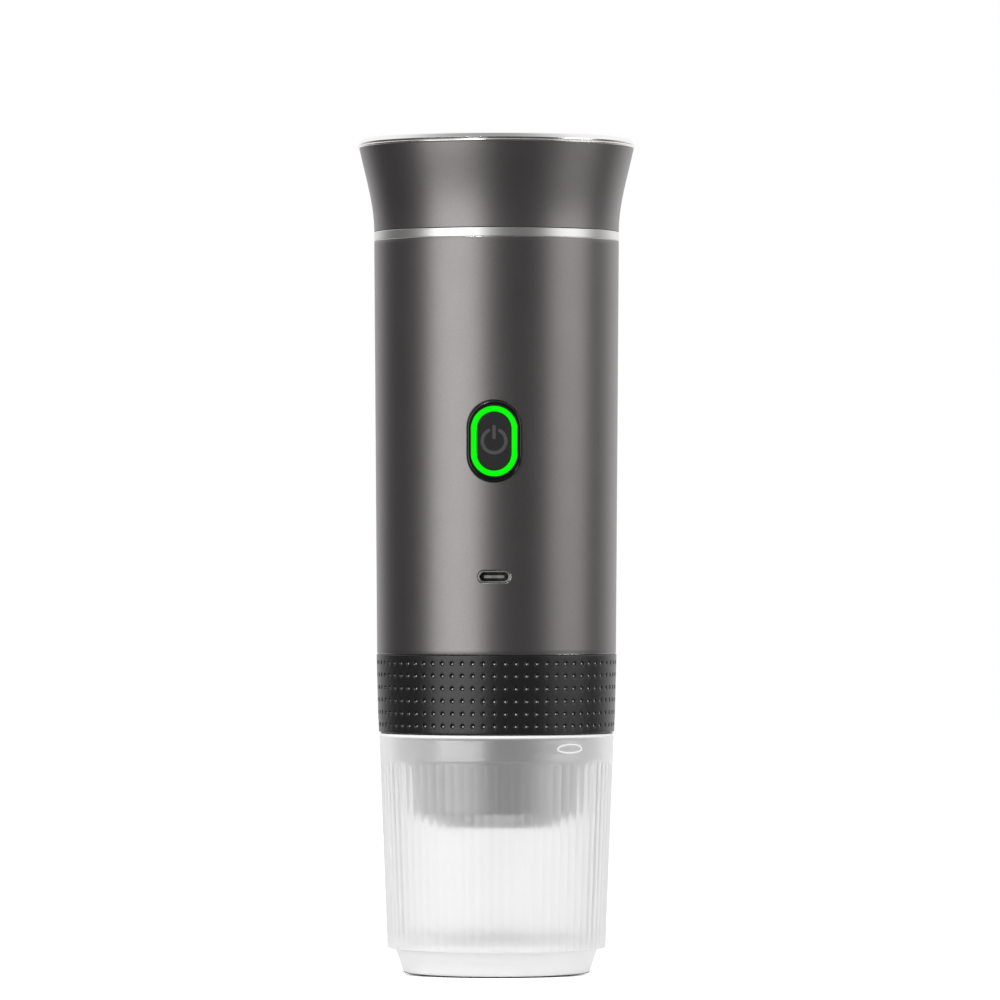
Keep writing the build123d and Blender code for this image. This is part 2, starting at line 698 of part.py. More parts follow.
def heater_insulator():
    """Insulating ring between the heating plate and the chassis."""
    return tube(heater_radius, heater_radius - INSULATOR_WIDTH, upper_top, heater_bottom)


def temperature_probe():
    """Temperature probe on the underside of the heating plate."""
    y = WIRE_WINDOW / 2 + PROBE_DIAMETER
    return rod(PROBE_DIAMETER / 2, heater_bottom - PROBE_HEIGHT, heater_bottom, 0, y)


def thermal_fuse():
    """Thermal fuse on the underside of the heating plate."""
    x = WIRE_WINDOW / 2 + FUSE_LENGTH / 2
    return Pos(x, 0, heater_bottom - FUSE_HEIGHT / 2) * Box(FUSE_LENGTH, FUSE_WIDTH, FUSE_HEIGHT)


# Chassis, cells and control board

def cell_places():
    """X and Y of each battery cell."""
    return [polar(cell_circle, angle) for angle in CELL_ANGLES]


def post_places():
    """X and Y of each post of the chassis."""
    return [polar(post_circle, angle) for angle in POST_ANGLES]


def chassis_lower():
    """Lower plate with pockets for the cells and posts that carry the upper plate."""
    radius = shell_bore(shell_bottom) - CHASSIS_GAP
    frame = rod(radius, bulkhead_top, lower_top)
    for x, y in post_places():
        frame += rod(POST_DIAMETER / 2, lower_top, upper_bottom, x, y)
        frame -= rod(SCREW_DIAMETER / 2, upper_bottom - SCREW_BITE, upper_bottom, x, y)
    for x, y in cell_places():
        frame -= rod(cell_diameter / 2 + SEAT_GAP, lower_top - CELL_POCKET, lower_top, x, y)
    for x, y in bulkhead_screw_places():
        frame -= rod(SCREW_DIAMETER / 2, bulkhead_top, bulkhead_top + CHASSIS_THICKNESS / 2, x, y)
    return frame - rod(NIPPLE_DIAMETER / 2 + WIRE_GAP, bulkhead_top, lower_top, port_x, port_y)


def chassis_upper():
    """Upper plate, cut off straight in front of the board, with pockets for the cells and windows."""
    plate = rod(shell_bore(shell_bottom) - CHASSIS_GAP, upper_bottom, upper_top)
    plate -= block(BODY_TOP_DIAMETER, -BODY_TOP_DIAMETER, board_face, 2 * CHASSIS_THICKNESS, 0, upper_top)
    for x, y in cell_places():
        plate -= rod(cell_diameter / 2 + SEAT_GAP, upper_bottom, upper_bottom + CELL_POCKET, x, y)
    for x, y in post_places():
        plate -= rod(SCREW_DIAMETER / 2 + SEAT_GAP, upper_bottom, upper_top, x, y)
    plate -= rod(NIPPLE_DIAMETER / 2 + WIRE_GAP, upper_bottom, upper_top, hose_x, hose_y)
    return plate - rod(WIRE_WINDOW / 2, upper_bottom, upper_top)


def chassis_screws():
    """Screws that hold the upper plate on the posts."""
    return [screw(upper_bottom - SCREW_BITE, upper_top, True, x, y) for x, y in post_places()]


def battery_cells():
    """Round battery cells."""
    radius = cell_diameter / 2
    points = [(0, cell_bottom), (radius, cell_bottom), (radius, cell_top), (0, cell_top)]
    cell = turned(points, [(1, CELL_ROUND), (2, CELL_ROUND)])
    return [Pos(x, y, 0) * cell for x, y in cell_places()]


def cell_contacts():
    """Spring-steel contact discs at both ends of the cells."""
    discs = []
    for x, y in cell_places():
        discs.append(rod(CONTACT_DIAMETER / 2, cell_bottom - CONTACT_THICKNESS, cell_bottom, x, y))
        discs.append(rod(CONTACT_DIAMETER / 2, cell_top, cell_top + CONTACT_THICKNESS, x, y))
    return discs


def main_board():
    """Upright circuit board between the two plates, behind the button."""
    height = upper_bottom - lower_top
    middle = (upper_bottom + lower_top) / 2
    return block(BOARD_WIDTH, board_face, board_face + BOARD_THICKNESS, height, 0, middle)


def board_chips():
    """Chips on the back of the board."""
    back = board_face + BOARD_THICKNESS
    middle = (inlet_height + button_height) / 2
    heights = (middle - 2 * CHIP_SIZE, middle, middle + 2 * CHIP_SIZE)
    return [block(CHIP_SIZE, back, back + CHIP_HEIGHT, CHIP_SIZE, 0, z) for z in heights]


def indicator_leds():
    """Lamps on the board behind the light ring."""
    x = (light_width - LIGHT_RING_WIDTH) / 2
    z = cap_length / 4
    places = [(x, z), (-x, z), (x, -z), (-x, -z)]
    return [block(LED_SIZE, board_face - LED_HEIGHT, board_face, LED_SIZE, px, button_height + pz)
            for px, pz in places]


# Power button

def button_bezel():
    """Raised slot-shaped frame in the body shell, with a flange behind the shell."""
    frame = stadium(BEZEL_WIDTH, BEZEL_LENGTH, bezel_face, bezel_back, button_height)
    front = frame.faces().sort_by(Axis.Y)[0]
    frame = fillet(front.edges(), BEZEL_ROUND)
    grow = 2 * BEZEL_FLANGE_WIDTH
    flange = stadium(BEZEL_WIDTH + grow, BEZEL_LENGTH + grow, bezel_flange_face, bezel_back, button_height)
    room = 2 * SEAT_GAP
    opening = stadium(light_width + room, light_length + room, bezel_face, bezel_back, button_height)
    return frame + flange - opening


def light_ring():
    """Clear light guide round the button, with a flange behind the bezel."""
    front = bezel_face + LIGHT_RING_RECESS
    grow = 2 * LIGHT_FLANGE_WIDTH
    guide = stadium(light_width, light_length, front, light_back, button_height)
    flange = stadium(light_width + grow, light_length + grow, bezel_back, light_back, button_height)
    shrink = 2 * LIGHT_RING_WIDTH
    opening = stadium(light_width - shrink, light_length - shrink, front, light_back, button_height)
    return guide + flange - opening


def button_cap():
    """Button with a flange behind the light ring and a post that reaches the switch."""
    grow = 2 * BUTTON_FLANGE_WIDTH
    cap = stadium(cap_width, cap_length, cap_face, cap_back, button_height)
    front = cap.faces().sort_by(Axis.Y)[0]
    cap = fillet(front.edges(), BUTTON_EDGE)
    flange = stadium(cap_width + grow, cap_length + grow, light_back, cap_back, button_height)
    post = Pos(0, (cap_back + plunger_front) / 2, button_height) * Rot(90, 0, 0) * Cylinder(
        BUTTON_POST_DIAMETER / 2, plunger_front - cap_back)
    return cap + flange + post


def power_symbol():
    """Printed power sign on the face of the button: an open ring and a bar."""
    plane = Plane(origin=(0, cap_face - SYMBOL_THICKNESS, button_height), x_dir=(1, 0, 0), z_dir=(0, 1, 0))
    outer = SYMBOL_DIAMETER / 2
    inner = outer - SYMBOL_STROKE
    half_gap = math.radians(SYMBOL_GAP_ANGLE / 2)
    reach = outer / math.cos(half_gap)
    side = reach * math.sin(half_gap)
    wedge = make_face(Polyline((0, 0), (-side, -reach), (side, -reach), close=True))
    bar = Pos(0, -SYMBOL_BAR_LENGTH / 2 - SYMBOL_STROKE / 2) * Rectangle(SYMBOL_STROKE, SYMBOL_BAR_LENGTH)
    ring = Circle(outer) - Circle(inner) - wedge
    return [extrude(plane * ring, SYMBOL_THICKNESS), extrude(plane * bar, SYMBOL_THICKNESS)]


def switch_plunger():
    """Plunger of the switch, pushed in by the button."""
    back = plunger_front + PLUNGER_LENGTH
    return Pos(0, (plunger_front + back) / 2, button_height) * Rot(90, 0, 0) * Cylinder(
        PLUNGER_DIAMETER / 2, PLUNGER_LENGTH)


def tact_switch():
    """Body of the push switch on the board."""
    body = block(SWITCH_SIZE, switch_face, board_face, SWITCH_SIZE, 0, button_height)
    depth = plunger_front + PLUNGER_LENGTH + BUTTON_TRAVEL + SEAT_GAP - switch_face
    bore = Pos(0, switch_face + depth / 2, button_height) * Rot(90, 0, 0) * Cylinder(
        PLUNGER_DIAMETER / 2 + SEAT_GAP, depth)
    return body - bore


# Charging inlet

inlet_front = -(shell_radius(inlet_height) - INLET_RECESS)
inlet_bore_width = INLET_SLEEVE_WIDTH - 2 * INLET_SLEEVE_WALL
inlet_bore_thickness = INLET_SLEEVE_THICKNESS - 2 * INLET_SLEEVE_WALL


def inlet_sleeve():
    """Metal sleeve of the charging inlet, stood on the board."""
    sleeve = flat_slot(INLET_SLEEVE_WIDTH, INLET_SLEEVE_THICKNESS, inlet_front, board_face, inlet_height)
    return sleeve - flat_slot(inlet_bore_width, inlet_bore_thickness, inlet_front, board_face, inlet_height)


def inlet_tongue():
    """Contact tongue and its base inside the sleeve."""
    gap = 2 * RUNNING_FIT
    base_front = board_face - INLET_BASE_DEPTH
    base = flat_slot(inlet_bore_width - gap, inlet_bore_thickness - gap, base_front, board_face, inlet_height)
    tongue_front = inlet_front + INLET_TONGUE_SETBACK
    return base + block(INLET_TONGUE_WIDTH, tongue_front, base_front, INLET_TONGUE_THICKNESS, 0, inlet_height)


# Gear pump and motor

def pump_screw_places():
    """X and Y of each screw of the pump."""
    leans = (-PUMP_SCREW_SPREAD, PUMP_SCREW_SPREAD)
    angles = [IDLER_ANGLE + side + lean for side in (0, 180) for lean in leans]
    return [polar(motor_radius - PUMP_SCREW_INSET, angle) for angle in angles]


def suction_bar(diameter, start, end):
    """Round bar along the suction line, between two distances from the mesh of the gears."""
    middle = (start + end) / 2
    place = Pos(idler_x / 2 + middle * suction_x, idler_y / 2 + middle * suction_y, port_height)
    return place * Rot(0, 0, suction_angle) * Rot(0, 90, 0) * Cylinder(diameter / 2, end - start)


def pump_housing():
    """Round housing with a chamber for two gears, an inlet at its side and an outlet below."""
    housing = rod(motor_radius, lower_top, cover_bottom)
    outer = hose_reach - HOSE_BEND
    housing += suction_bar(NIPPLE_DIAMETER, 0, outer)
    housing += rod(NIPPLE_DIAMETER / 2, bulkhead_top - SOCKET_DEPTH + SEAT_GAP, lower_top, port_x, port_y)
    chamber_radius = gear_tip_radius + GEAR_TIP_GAP
    chamber_bottom = gear_bottom - GEAR_END_GAP
    housing -= rod(chamber_radius, chamber_bottom, cover_bottom)
    housing -= rod(chamber_radius, chamber_bottom, cover_bottom, idler_x, idler_y)
    housing -= suction_bar(PUMP_PORT_BORE, 0, outer)
    housing -= rod(PUMP_PORT_BORE / 2, bulkhead_top - SOCKET_DEPTH, cover_bottom, port_x, port_y)
    housing -= rod(SHAFT_DIAMETER / 2 + RUNNING_FIT, chamber_bottom - PIN_SEAT, chamber_bottom)
    housing -= rod(IDLER_PIN_DIAMETER / 2, chamber_bottom - PIN_SEAT, chamber_bottom, idler_x, idler_y)
    for x, y in pump_screw_places():
        housing -= rod(SCREW_DIAMETER / 2 + RUNNING_FIT, lower_top, cover_bottom, x, y)
        housing -= rod(SCREW_HEAD_DIAMETER / 2 + RUNNING_FIT, lower_top, lower_top + SCREW_HEAD_HEIGHT, x, y)
    return housing


def pump_cover():
    """Plate between the pump and its motor."""
    plate = rod(motor_radius, cover_bottom, cover_top)
    plate -= rod(SHAFT_DIAMETER / 2 + RUNNING_FIT, cover_bottom, cover_top)
    plate -= rod(IDLER_PIN_DIAMETER / 2, cover_bottom, cover_bottom + PIN_SEAT, idler_x, idler_y)
    for x, y in pump_screw_places():
        plate -= rod(SCREW_DIAMETER / 2, cover_bottom, cover_bottom + PUMP_COVER / 2, x, y)
    return plate


def pump_screws():
    """Screws from below that hold the pump together."""
    low = lower_top + SCREW_HEAD_HEIGHT
    return [screw(low, cover_bottom + PUMP_COVER / 2, False, x, y) for x, y in pump_screw_places()]


def motor_can():
    """Round motor with a bore for its shaft."""
    points = [(0, cover_top), (motor_radius, cover_top), (motor_radius, motor_top), (0, motor_top)]
    can = turned(points, [(2, MOTOR_EDGE)])
    return can - rod(SHAFT_DIAMETER / 2 + RUNNING_FIT, cover_top, cover_top + SHAFT_REACH + RUNNING_FIT)


def motor_end_bell():
    """Moulded end of the motor."""
    return rod(motor_radius - PUMP_WALL, motor_top, end_bell_top)


def motor_shaft():
    """Shaft from the foot of the drive gear into the motor."""
    return rod(SHAFT_DIAMETER / 2, gear_bottom - PIN_SEAT, cover_top + SHAFT_REACH)


def drive_gear():
    """Gear on the motor's shaft, with a tooth turned towards the idler."""
    return gear(IDLER_ANGLE, SHAFT_DIAMETER)


def idler_gear():
    """Second gear, with a gap turned towards the drive gear."""
    turn = IDLER_ANGLE + 180 + 180 / GEAR_TEETH
    return Pos(idler_x, idler_y, 0) * gear(turn, IDLER_PIN_DIAMETER + 2 * RUNNING_FIT)


def idler_pin():
    """Fixed pin on which the idler turns."""
    low = gear_bottom - GEAR_END_GAP - PIN_SEAT
    return rod(IDLER_PIN_DIAMETER / 2, low, cover_bottom + PIN_SEAT, idler_x, idler_y)


# Hose and wires

def inlet_hose():
    """Soft hose from the nipple of the tank, down beside the motor and round to the pump."""
    end = motor_radius + JOINT_GAP
    top = (hose_x, hose_y, upper_bottom - JOINT_GAP)
    corner = (hose_x, hose_y, port_height)
    finish = (idler_x / 2 + end * suction_x, idler_y / 2 + end * suction_y, port_height)
    return wire([top, corner, finish], HOSE_BEND - JOINT_GAP, HOSE_BORE + 2 * HOSE_WALL, HOSE_BORE)


def board_wires(spread, start_y, start_z, level):
    """Pair of wires from a level above or below the board's top end, over to the back of the board."""
    back = board_face + BOARD_THICKNESS
    pair = []
    for x in (-spread, spread):
        points = [(x, start_y, start_z), (x, start_y, level), (x, back, level)]
        pair.append(wire(points, WIRE_BEND, WIRE_DIAMETER))
    return pair


def motor_leads():
    """Two wires from the end of the motor to the board."""
    level = end_bell_top + WIRE_BEND + WIRE_DIAMETER
    return board_wires(MOTOR_WIRE_SPREAD, 0, end_bell_top, level)


def heater_leads():
    """Two wires from the heating plate, through the window of the upper plate, to the board."""
    level = upper_bottom - WIRE_BEND - WIRE_DIAMETER
    return board_wires(HEATER_WIRE_SPREAD, -WIRE_DIAMETER, heater_bottom, level)


# Bulkhead, shower screen and check valve

def boss_places():
    """X and Y of each boss that carries the shower screen."""
    return [polar(neck_bore - BOSS_INSET, angle) for angle in CELL_ANGLES]


def bulkhead_screw_places():
    """X and Y of each screw between the bulkhead and the chassis."""
    return [polar(neck_bore - BULKHEAD_SCREW_INSET, angle + 60) for angle in CELL_ANGLES]


valve_seat_height = bulkhead_top - SOCKET_DEPTH - VALVE_SEAT
valve_disc_top = valve_seat_height - VALVE_SEAT_GAP
valve_disc_bottom = valve_disc_top - VALVE_DISC_HEIGHT
spring_bottom = valve_disc_bottom - SEAT_GAP - SPRING_LENGTH
retainer_top = spring_bottom - SEAT_GAP
retainer_bottom = retainer_top - RETAINER_HEIGHT


def bulkhead():
    """Disc in the foot of the body shell with a threaded neck below it."""
    disc = shell_bore(shell_bottom) - SEAT_GAP
    points = [(0, web_bottom), (neck_bore, web_bottom), (neck_bore, neck_bottom), (neck_core, neck_bottom),
              (neck_core, bulkhead_bottom), (disc, bulkhead_bottom), (disc, bulkhead_top), (0, bulkhead_top)]
    body = turned(points)
    body += thread_ridge(neck_core, False, neck_bottom + THREAD_RUN_IN, thread_turns)
    for x, y in boss_places():
        body += rod(BOSS_DIAMETER / 2, screen_top, web_bottom, x, y)
        body -= rod(SCREW_DIAMETER / 2, screen_top, screen_top + SCREW_BITE, x, y)
    boss = VALVE_BORE / 2 + VALVE_BOSS_WALL
    body += rod(boss, retainer_bottom, web_bottom, port_x, port_y)
    body -= rod(VALVE_BORE / 2, retainer_bottom, valve_seat_height, port_x, port_y)
    body -= rod(PUMP_PORT_BORE / 2, valve_seat_height, bulkhead_top, port_x, port_y)
    body -= rod(NIPPLE_DIAMETER / 2 + SEAT_GAP, bulkhead_top - SOCKET_DEPTH, bulkhead_top, port_x, port_y)
    for x, y in bulkhead_screw_places():
        body -= rod(SCREW_DIAMETER / 2 + SEAT_GAP, web_bottom, bulkhead_top, x, y)
    return body


def bulkhead_screws():
    """Screws from inside the neck up into the chassis."""
    high = bulkhead_top + CHASSIS_THICKNESS / 2
    return [screw(web_bottom, high, False, x, y) for x, y in bulkhead_screw_places()]


def brew_gasket():
    """Soft ring under the neck, against which the brew chamber closes."""
    return tube(neck_core - SEAT_GAP, neck_bore + SEAT_GAP, gasket_bottom, neck_bottom)


def shower_screen():
    """Perforated disc that spreads the water."""
    radius = neck_bore - JOINT_GAP
    disc = rod(radius, screen_bottom, screen_top)
    cutters = holes(radius, SCREEN_RING_SHARES, SCREEN_RING_COUNTS, SCREEN_HOLE, screen_bottom, screen_top)
    for x, y in boss_places():
        cutters.append(rod(SCREW_DIAMETER / 2 + RUNNING_FIT, screen_bottom, screen_top, x, y))
    return disc.cut(*cutters)


def shower_screws():
    """Screws that hold the shower screen on its bosses."""
    return [screw(screen_bottom, screen_top + SCREW_BITE, False, x, y) for x, y in boss_places()]


def valve_poppet():
    """Disc and stem that close the outlet of the pump until the pressure opens it."""
    disc = rod(VALVE_DISC_DIAMETER / 2, valve_disc_bottom, valve_disc_top, port_x, port_y)
    low = valve_disc_bottom - VALVE_STEM_LENGTH
    return disc + rod(VALVE_STEM_DIAMETER / 2, low, valve_disc_bottom, port_x, port_y)


def valve_spring():
    """Coil spring round the stem, as one unbroken wire."""
    rise = SPRING_LENGTH - SPRING_WIRE
    pitch = rise / SPRING_TURNS
    start = (0, 0, spring_bottom + SPRING_WIRE / 2)
    coil = Helix(pitch=pitch, height=rise, radius=SPRING_DIAMETER / 2, center=start)
    section = Plane(origin=coil @ 0, z_dir=coil % 0)
    return Pos(port_x, port_y, 0) * sweep(section * Circle(SPRING_WIRE / 2), path=coil, is_frenet=True)


def valve_retainer():
    """Ring pressed into the foot of the valve, under the spring."""
    ring = rod(VALVE_BORE / 2, retainer_bottom, retainer_top, port_x, port_y)
    return ring - rod(RETAINER_BORE / 2, retainer_bottom, retainer_top, port_x, port_y)


# Locking ring with its rubber grip

def lock_ring():
    """Locking ring: a threaded sleeve with a flange below that draws the brew chamber up."""
    low = grip_radius(grip_bottom) - GRIP_SLEEVE
    high = grip_radius(grip_top) - GRIP_SLEEVE
    points = [(lock_flange_bore, grip_bottom), (low, grip_bottom), (high, grip_top),
              (lock_bore, grip_top), (lock_bore, lock_flange_top), (lock_flange_bore, lock_flange_top)]
    lift = (THREAD_ROOT + THREAD_CREST) / 2 + THREAD_FLANK_GAP
    start = neck_bottom + THREAD_RUN_IN + lift
    ridge = thread_ridge(lock_bore, True, start, thread_turns - lift / THREAD_LEAD)
    return turned(points) + ridge


def grip_sleeve():
    """Rubber sleeve on the locking ring."""
    low = grip_radius(grip_bottom)
    high = grip_radius(grip_top)
    points = [(low - GRIP_SLEEVE, grip_bottom), (low, grip_bottom),
              (high, grip_top), (high - GRIP_SLEEVE, grip_top)]
    return turned(points, [(1, GRIP_ROUND), (2, GRIP_ROUND)])


# Brew chamber, basket and outlet housing

collar_low = cup_height - COLLAR_HEIGHT
shelf_top = collar_low + COLLAR_SHELF
basket_radius = neck_bore - BASKET_FLANGE_WIDTH - BASKET_RIM_GAP
chamber_bore = basket_radius + BASKET_GAP
recess_floor = chamber_flange_top - BASKET_RECESS
basket_bottom = recess_floor + BASKET_SHEET - BASKET_DEPTH
chamber_floor_top = basket_bottom - BASKET_GAP
chamber_floor_bottom = chamber_floor_top - CHAMBER_FLOOR
collar_radius = cup_bore(collar_low) - CUP_CLEARANCE
holder_top_radius = collar_radius - HOLDER_INSET
holder_bottom_radius = holder_top_radius - HOLDER_TAPER
holder_bottom = chamber_floor_bottom - HOLDER_DROP
holder_floor = holder_bottom + HOLDER_FLOOR
plate_radius = PLATE_RADIUS_SHARE * holder_bottom_radius


def brew_chamber():
    """Brew chamber with a flange that the locking ring lifts, and a small outlet in its floor."""
    flange = basket_radius + BASKET_FLANGE_WIDTH + SEAT_GAP
    lower = chamber_bore + CHAMBER_WALL
    floor = chamber_floor_bottom
    outlet = CHAMBER_OUTLET / 2
    points = [(outlet, floor), (lower, floor), (lower, shelf_top), (chamber_step_radius, shelf_top),
              (chamber_step_radius, cup_height), (chamber_neck_radius, cup_height),
              (chamber_neck_radius, chamber_flange_bottom), (chamber_flange_radius, chamber_flange_bottom),
              (chamber_flange_radius, chamber_flange_top), (flange, chamber_flange_top),
              (flange, recess_floor), (chamber_bore, recess_floor),
              (chamber_bore, chamber_floor_top), (outlet, chamber_floor_top)]
    return turned(points)


def filter_basket():
    """Pressed basket for ground coffee, hung by its flange, with a perforated floor."""
    rim = basket_radius + BASKET_FLANGE_WIDTH
    top = recess_floor + BASKET_SHEET
    inner = basket_radius - BASKET_SHEET
    floor = basket_bottom + BASKET_SHEET
    points = [(0, basket_bottom), (basket_radius, basket_bottom), (basket_radius, recess_floor),
              (rim, recess_floor), (rim, top), (inner, top), (inner, floor), (0, floor)]
    basket = turned(points)
    cutters = holes(basket_radius, BASKET_RING_SHARES, BASKET_RING_COUNTS, BASKET_HOLE, basket_bottom, floor)
    return basket.cut(*cutters)


def outlet_housing():
    """Collar that the cup fits over, with a tapered holder below it and an opening in its floor."""
    top = holder_top_radius
    bottom = holder_bottom_radius
    inside = chamber_step_radius + SEAT_GAP
    opening = plate_radius + SEAT_GAP
    points = [(opening, holder_bottom), (bottom, holder_bottom), (top, collar_low),
              (collar_radius, collar_low), (collar_radius, cup_height), (inside, cup_height),
              (inside, shelf_top), (top - HOLDER_WALL, shelf_top),
              (bottom - HOLDER_WALL, holder_floor), (opening, holder_floor)]
    rounds = [(1, HOLDER_ROUND), (3, COLLAR_EDGE), (8, HOLDER_ROUND - HOLDER_WALL)]
    seat = Pos(0, 0, seal_height) * Torus(seal_circle, CUP_SEAL_DIAMETER / 2)
    return turned(points, rounds) - seat


seal_circle = collar_radius + CUP_SEAL_PROUD - CUP_SEAL_DIAMETER / 2
seal_height = cup_height - CUP_SEAL_DROP


def outlet_plate():
    """Round plate with the outlet, set into the floor of the holder and resting on it by a ledge."""
    outlet = HOLDER_OUTLET / 2
    ledge = plate_radius + PLATE_LEDGE
    top = holder_floor + PLATE_THICKNESS
    return turned([(outlet, holder_bottom), (plate_radius, holder_bottom), (plate_radius, holder_floor),
                   (ledge, holder_floor), (ledge, top), (outlet, top)])


def cup_seal():
    """Soft ring in the collar that grips the cup."""
    return Pos(0, 0, seal_height) * Torus(seal_circle, CUP_SEAL_DIAMETER / 2)


# Cup

def fluted_wire(radius, z):
    """Ring of convex flutes at one height, each an arc between two valleys."""
    arcs = []
    valley = radius - FLUTE_DEPTH
    step = 360 / FLUTE_COUNT
    for number in range(FLUTE_COUNT):
        points = []
        for reach, share in ((valley, number - 0.5), (radius, number), (valley, number + 0.5)):
            x, y = polar(reach, share * step)
            points.append((x, y, z))
        arcs.append(ThreePointArc(*points))
    return Wire(arcs)


def cup_mark():
    """Low oval on the upper wall of the cup."""
    radius = cup_radius(mark_height) + MARK_PROUD
    plane = Plane(origin=(radius, 0, mark_height), x_dir=(0, 1, 0), z_dir=(-1, 0, 0))
    oval = extrude(plane * Ellipse(MARK_LENGTH / 2, MARK_WIDTH / 2), CUP_WALL)
    root = radius - MARK_PROUD - CUP_WALL / 2
    skin = tube(radius, root, mark_height - MARK_WIDTH, mark_height + MARK_WIDTH)
    return Rot(0, 0, MARK_ANGLE) * (oval & skin)


def cup():
    """Clear cup: a plain band under the lip, convex flutes below it and a narrower foot."""
    low = cup_radius(FLUTE_BOTTOM)
    high = cup_radius(flute_top)
    flutes = Solid.make_loft([fluted_wire(low, FLUTE_BOTTOM), fluted_wire(high, flute_top)], ruled=True)
    band = turned([(0, flute_top), (high, flute_top), (cup_top_diameter / 2, cup_height), (0, cup_height)],
                  [(2, CUP_LIP_ROUND)])
    foot_outer = cup_foot_diameter / 2
    foot_inner = foot_outer - CUP_FOOT_RIM
    foot = turned([(0, CUP_FOOT_RECESS), (foot_inner, CUP_FOOT_RECESS), (foot_inner, 0), (foot_outer, 0),
                   (cup_base_diameter / 2, FLUTE_BOTTOM), (0, FLUTE_BOTTOM)])
    wall_foot = CUP_FLOOR + CUP_INNER_ROUND
    inside = turned([(0, CUP_FLOOR), (cup_bore(wall_foot), CUP_FLOOR), (cup_bore(cup_height), cup_height),
                     (0, cup_height)], [(1, CUP_INNER_ROUND)])
    return flutes + band + foot + cup_mark() - inside


parts = [
    lid_shell, lid_rim_trim, lid_top_plate, lid_liner, lid_seal, lid_vent_valve,
    body_shell, neck_ring, tank_collar, tank_seal, water_tank,
    heater_plate, heater_insulator, temperature_probe, thermal_fuse,
    chassis_lower, chassis_upper, chassis_screws, battery_cells, cell_contacts,
    main_board, board_chips, indicator_leds,
    button_bezel, light_ring, button_cap, power_symbol, switch_plunger, tact_switch,
    inlet_sleeve, inlet_tongue,
    pump_housing, pump_cover, pump_screws, motor_can, motor_end_bell, motor_shaft,
    drive_gear, idler_gear, idler_pin,
    inlet_hose, motor_leads, heater_leads,
    bulkhead, bulkhead_screws, brew_gasket, shower_screen, shower_screws,
    valve_poppet, valve_spring, valve_retainer,
    lock_ring, grip_sleeve, brew_chamber, filter_basket, outlet_housing, outlet_plate, cup_seal, cup,
]

os.makedirs("parts", exist_ok=True)
for make in parts:
    made = make()
    if isinstance(made, list):
        made = Compound(children=[Compound(piece.solids()) if len(piece.solids()) > 1 else piece.solid()
                                  for piece in made])
    export_step(made, f"parts/{make.__name__}.step")

spring_gap = (SPRING_LENGTH - SPRING_WIRE) / SPRING_TURNS - SPRING_WIRE
print(f"least gap between turns of the valve spring: {spring_gap:.2f} mm")
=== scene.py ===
import json
import math

import bmesh
import bpy
import numpy as np
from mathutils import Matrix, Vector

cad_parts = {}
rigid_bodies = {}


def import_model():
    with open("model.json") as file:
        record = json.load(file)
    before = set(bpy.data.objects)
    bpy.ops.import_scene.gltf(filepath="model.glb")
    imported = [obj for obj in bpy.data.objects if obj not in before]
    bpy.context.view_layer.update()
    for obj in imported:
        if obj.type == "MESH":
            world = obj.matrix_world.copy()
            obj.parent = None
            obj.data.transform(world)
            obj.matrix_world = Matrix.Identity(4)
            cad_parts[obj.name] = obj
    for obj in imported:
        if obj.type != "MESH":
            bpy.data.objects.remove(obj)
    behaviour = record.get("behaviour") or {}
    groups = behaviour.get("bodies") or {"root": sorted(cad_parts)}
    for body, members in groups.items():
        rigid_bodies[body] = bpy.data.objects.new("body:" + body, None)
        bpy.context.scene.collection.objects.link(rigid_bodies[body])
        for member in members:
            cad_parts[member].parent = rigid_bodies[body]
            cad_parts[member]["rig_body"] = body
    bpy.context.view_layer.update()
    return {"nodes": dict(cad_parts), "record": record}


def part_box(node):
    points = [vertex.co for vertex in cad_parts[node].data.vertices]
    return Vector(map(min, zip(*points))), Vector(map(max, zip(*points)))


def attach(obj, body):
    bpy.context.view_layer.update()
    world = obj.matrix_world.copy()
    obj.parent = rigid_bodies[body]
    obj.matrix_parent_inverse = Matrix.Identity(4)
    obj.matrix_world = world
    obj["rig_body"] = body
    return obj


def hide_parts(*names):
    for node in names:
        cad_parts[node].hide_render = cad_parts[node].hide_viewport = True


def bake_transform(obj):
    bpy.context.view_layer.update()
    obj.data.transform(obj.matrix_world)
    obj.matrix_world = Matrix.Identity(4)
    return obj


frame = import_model()

# All sizes below are in millimetres, in the frame of the part: Z up, the button faces -Y.
MM = 0.001
FRONT = -math.pi / 2
SHARP_ANGLE = math.radians(38)
MERGE_GAP, SHORTEST_EDGE = 0.0002, 0.00001

# Body, and the ring between body and lid
BODY_BOTTOM, BODY_TOP = 91.8, 210.7
BODY_BOTTOM_RADIUS, BODY_TOP_RADIUS = 34.45, 35.3
BODY_WALL, BODY_CUT_EDGE = 1.2, 0.18
RING_TOP, RING_BORE, RING_ROUND = 213.2, 33.1, 0.15

# Grid of the body's skin: the degrees of a column, the degrees to each side of the front that the
# windows round the openings take, and half the height of each window
BODY_COLUMN, WINDOW_TURN, INLET_WINDOW, BUTTON_WINDOW = 2.0, 20.0, 8.0, 16.0

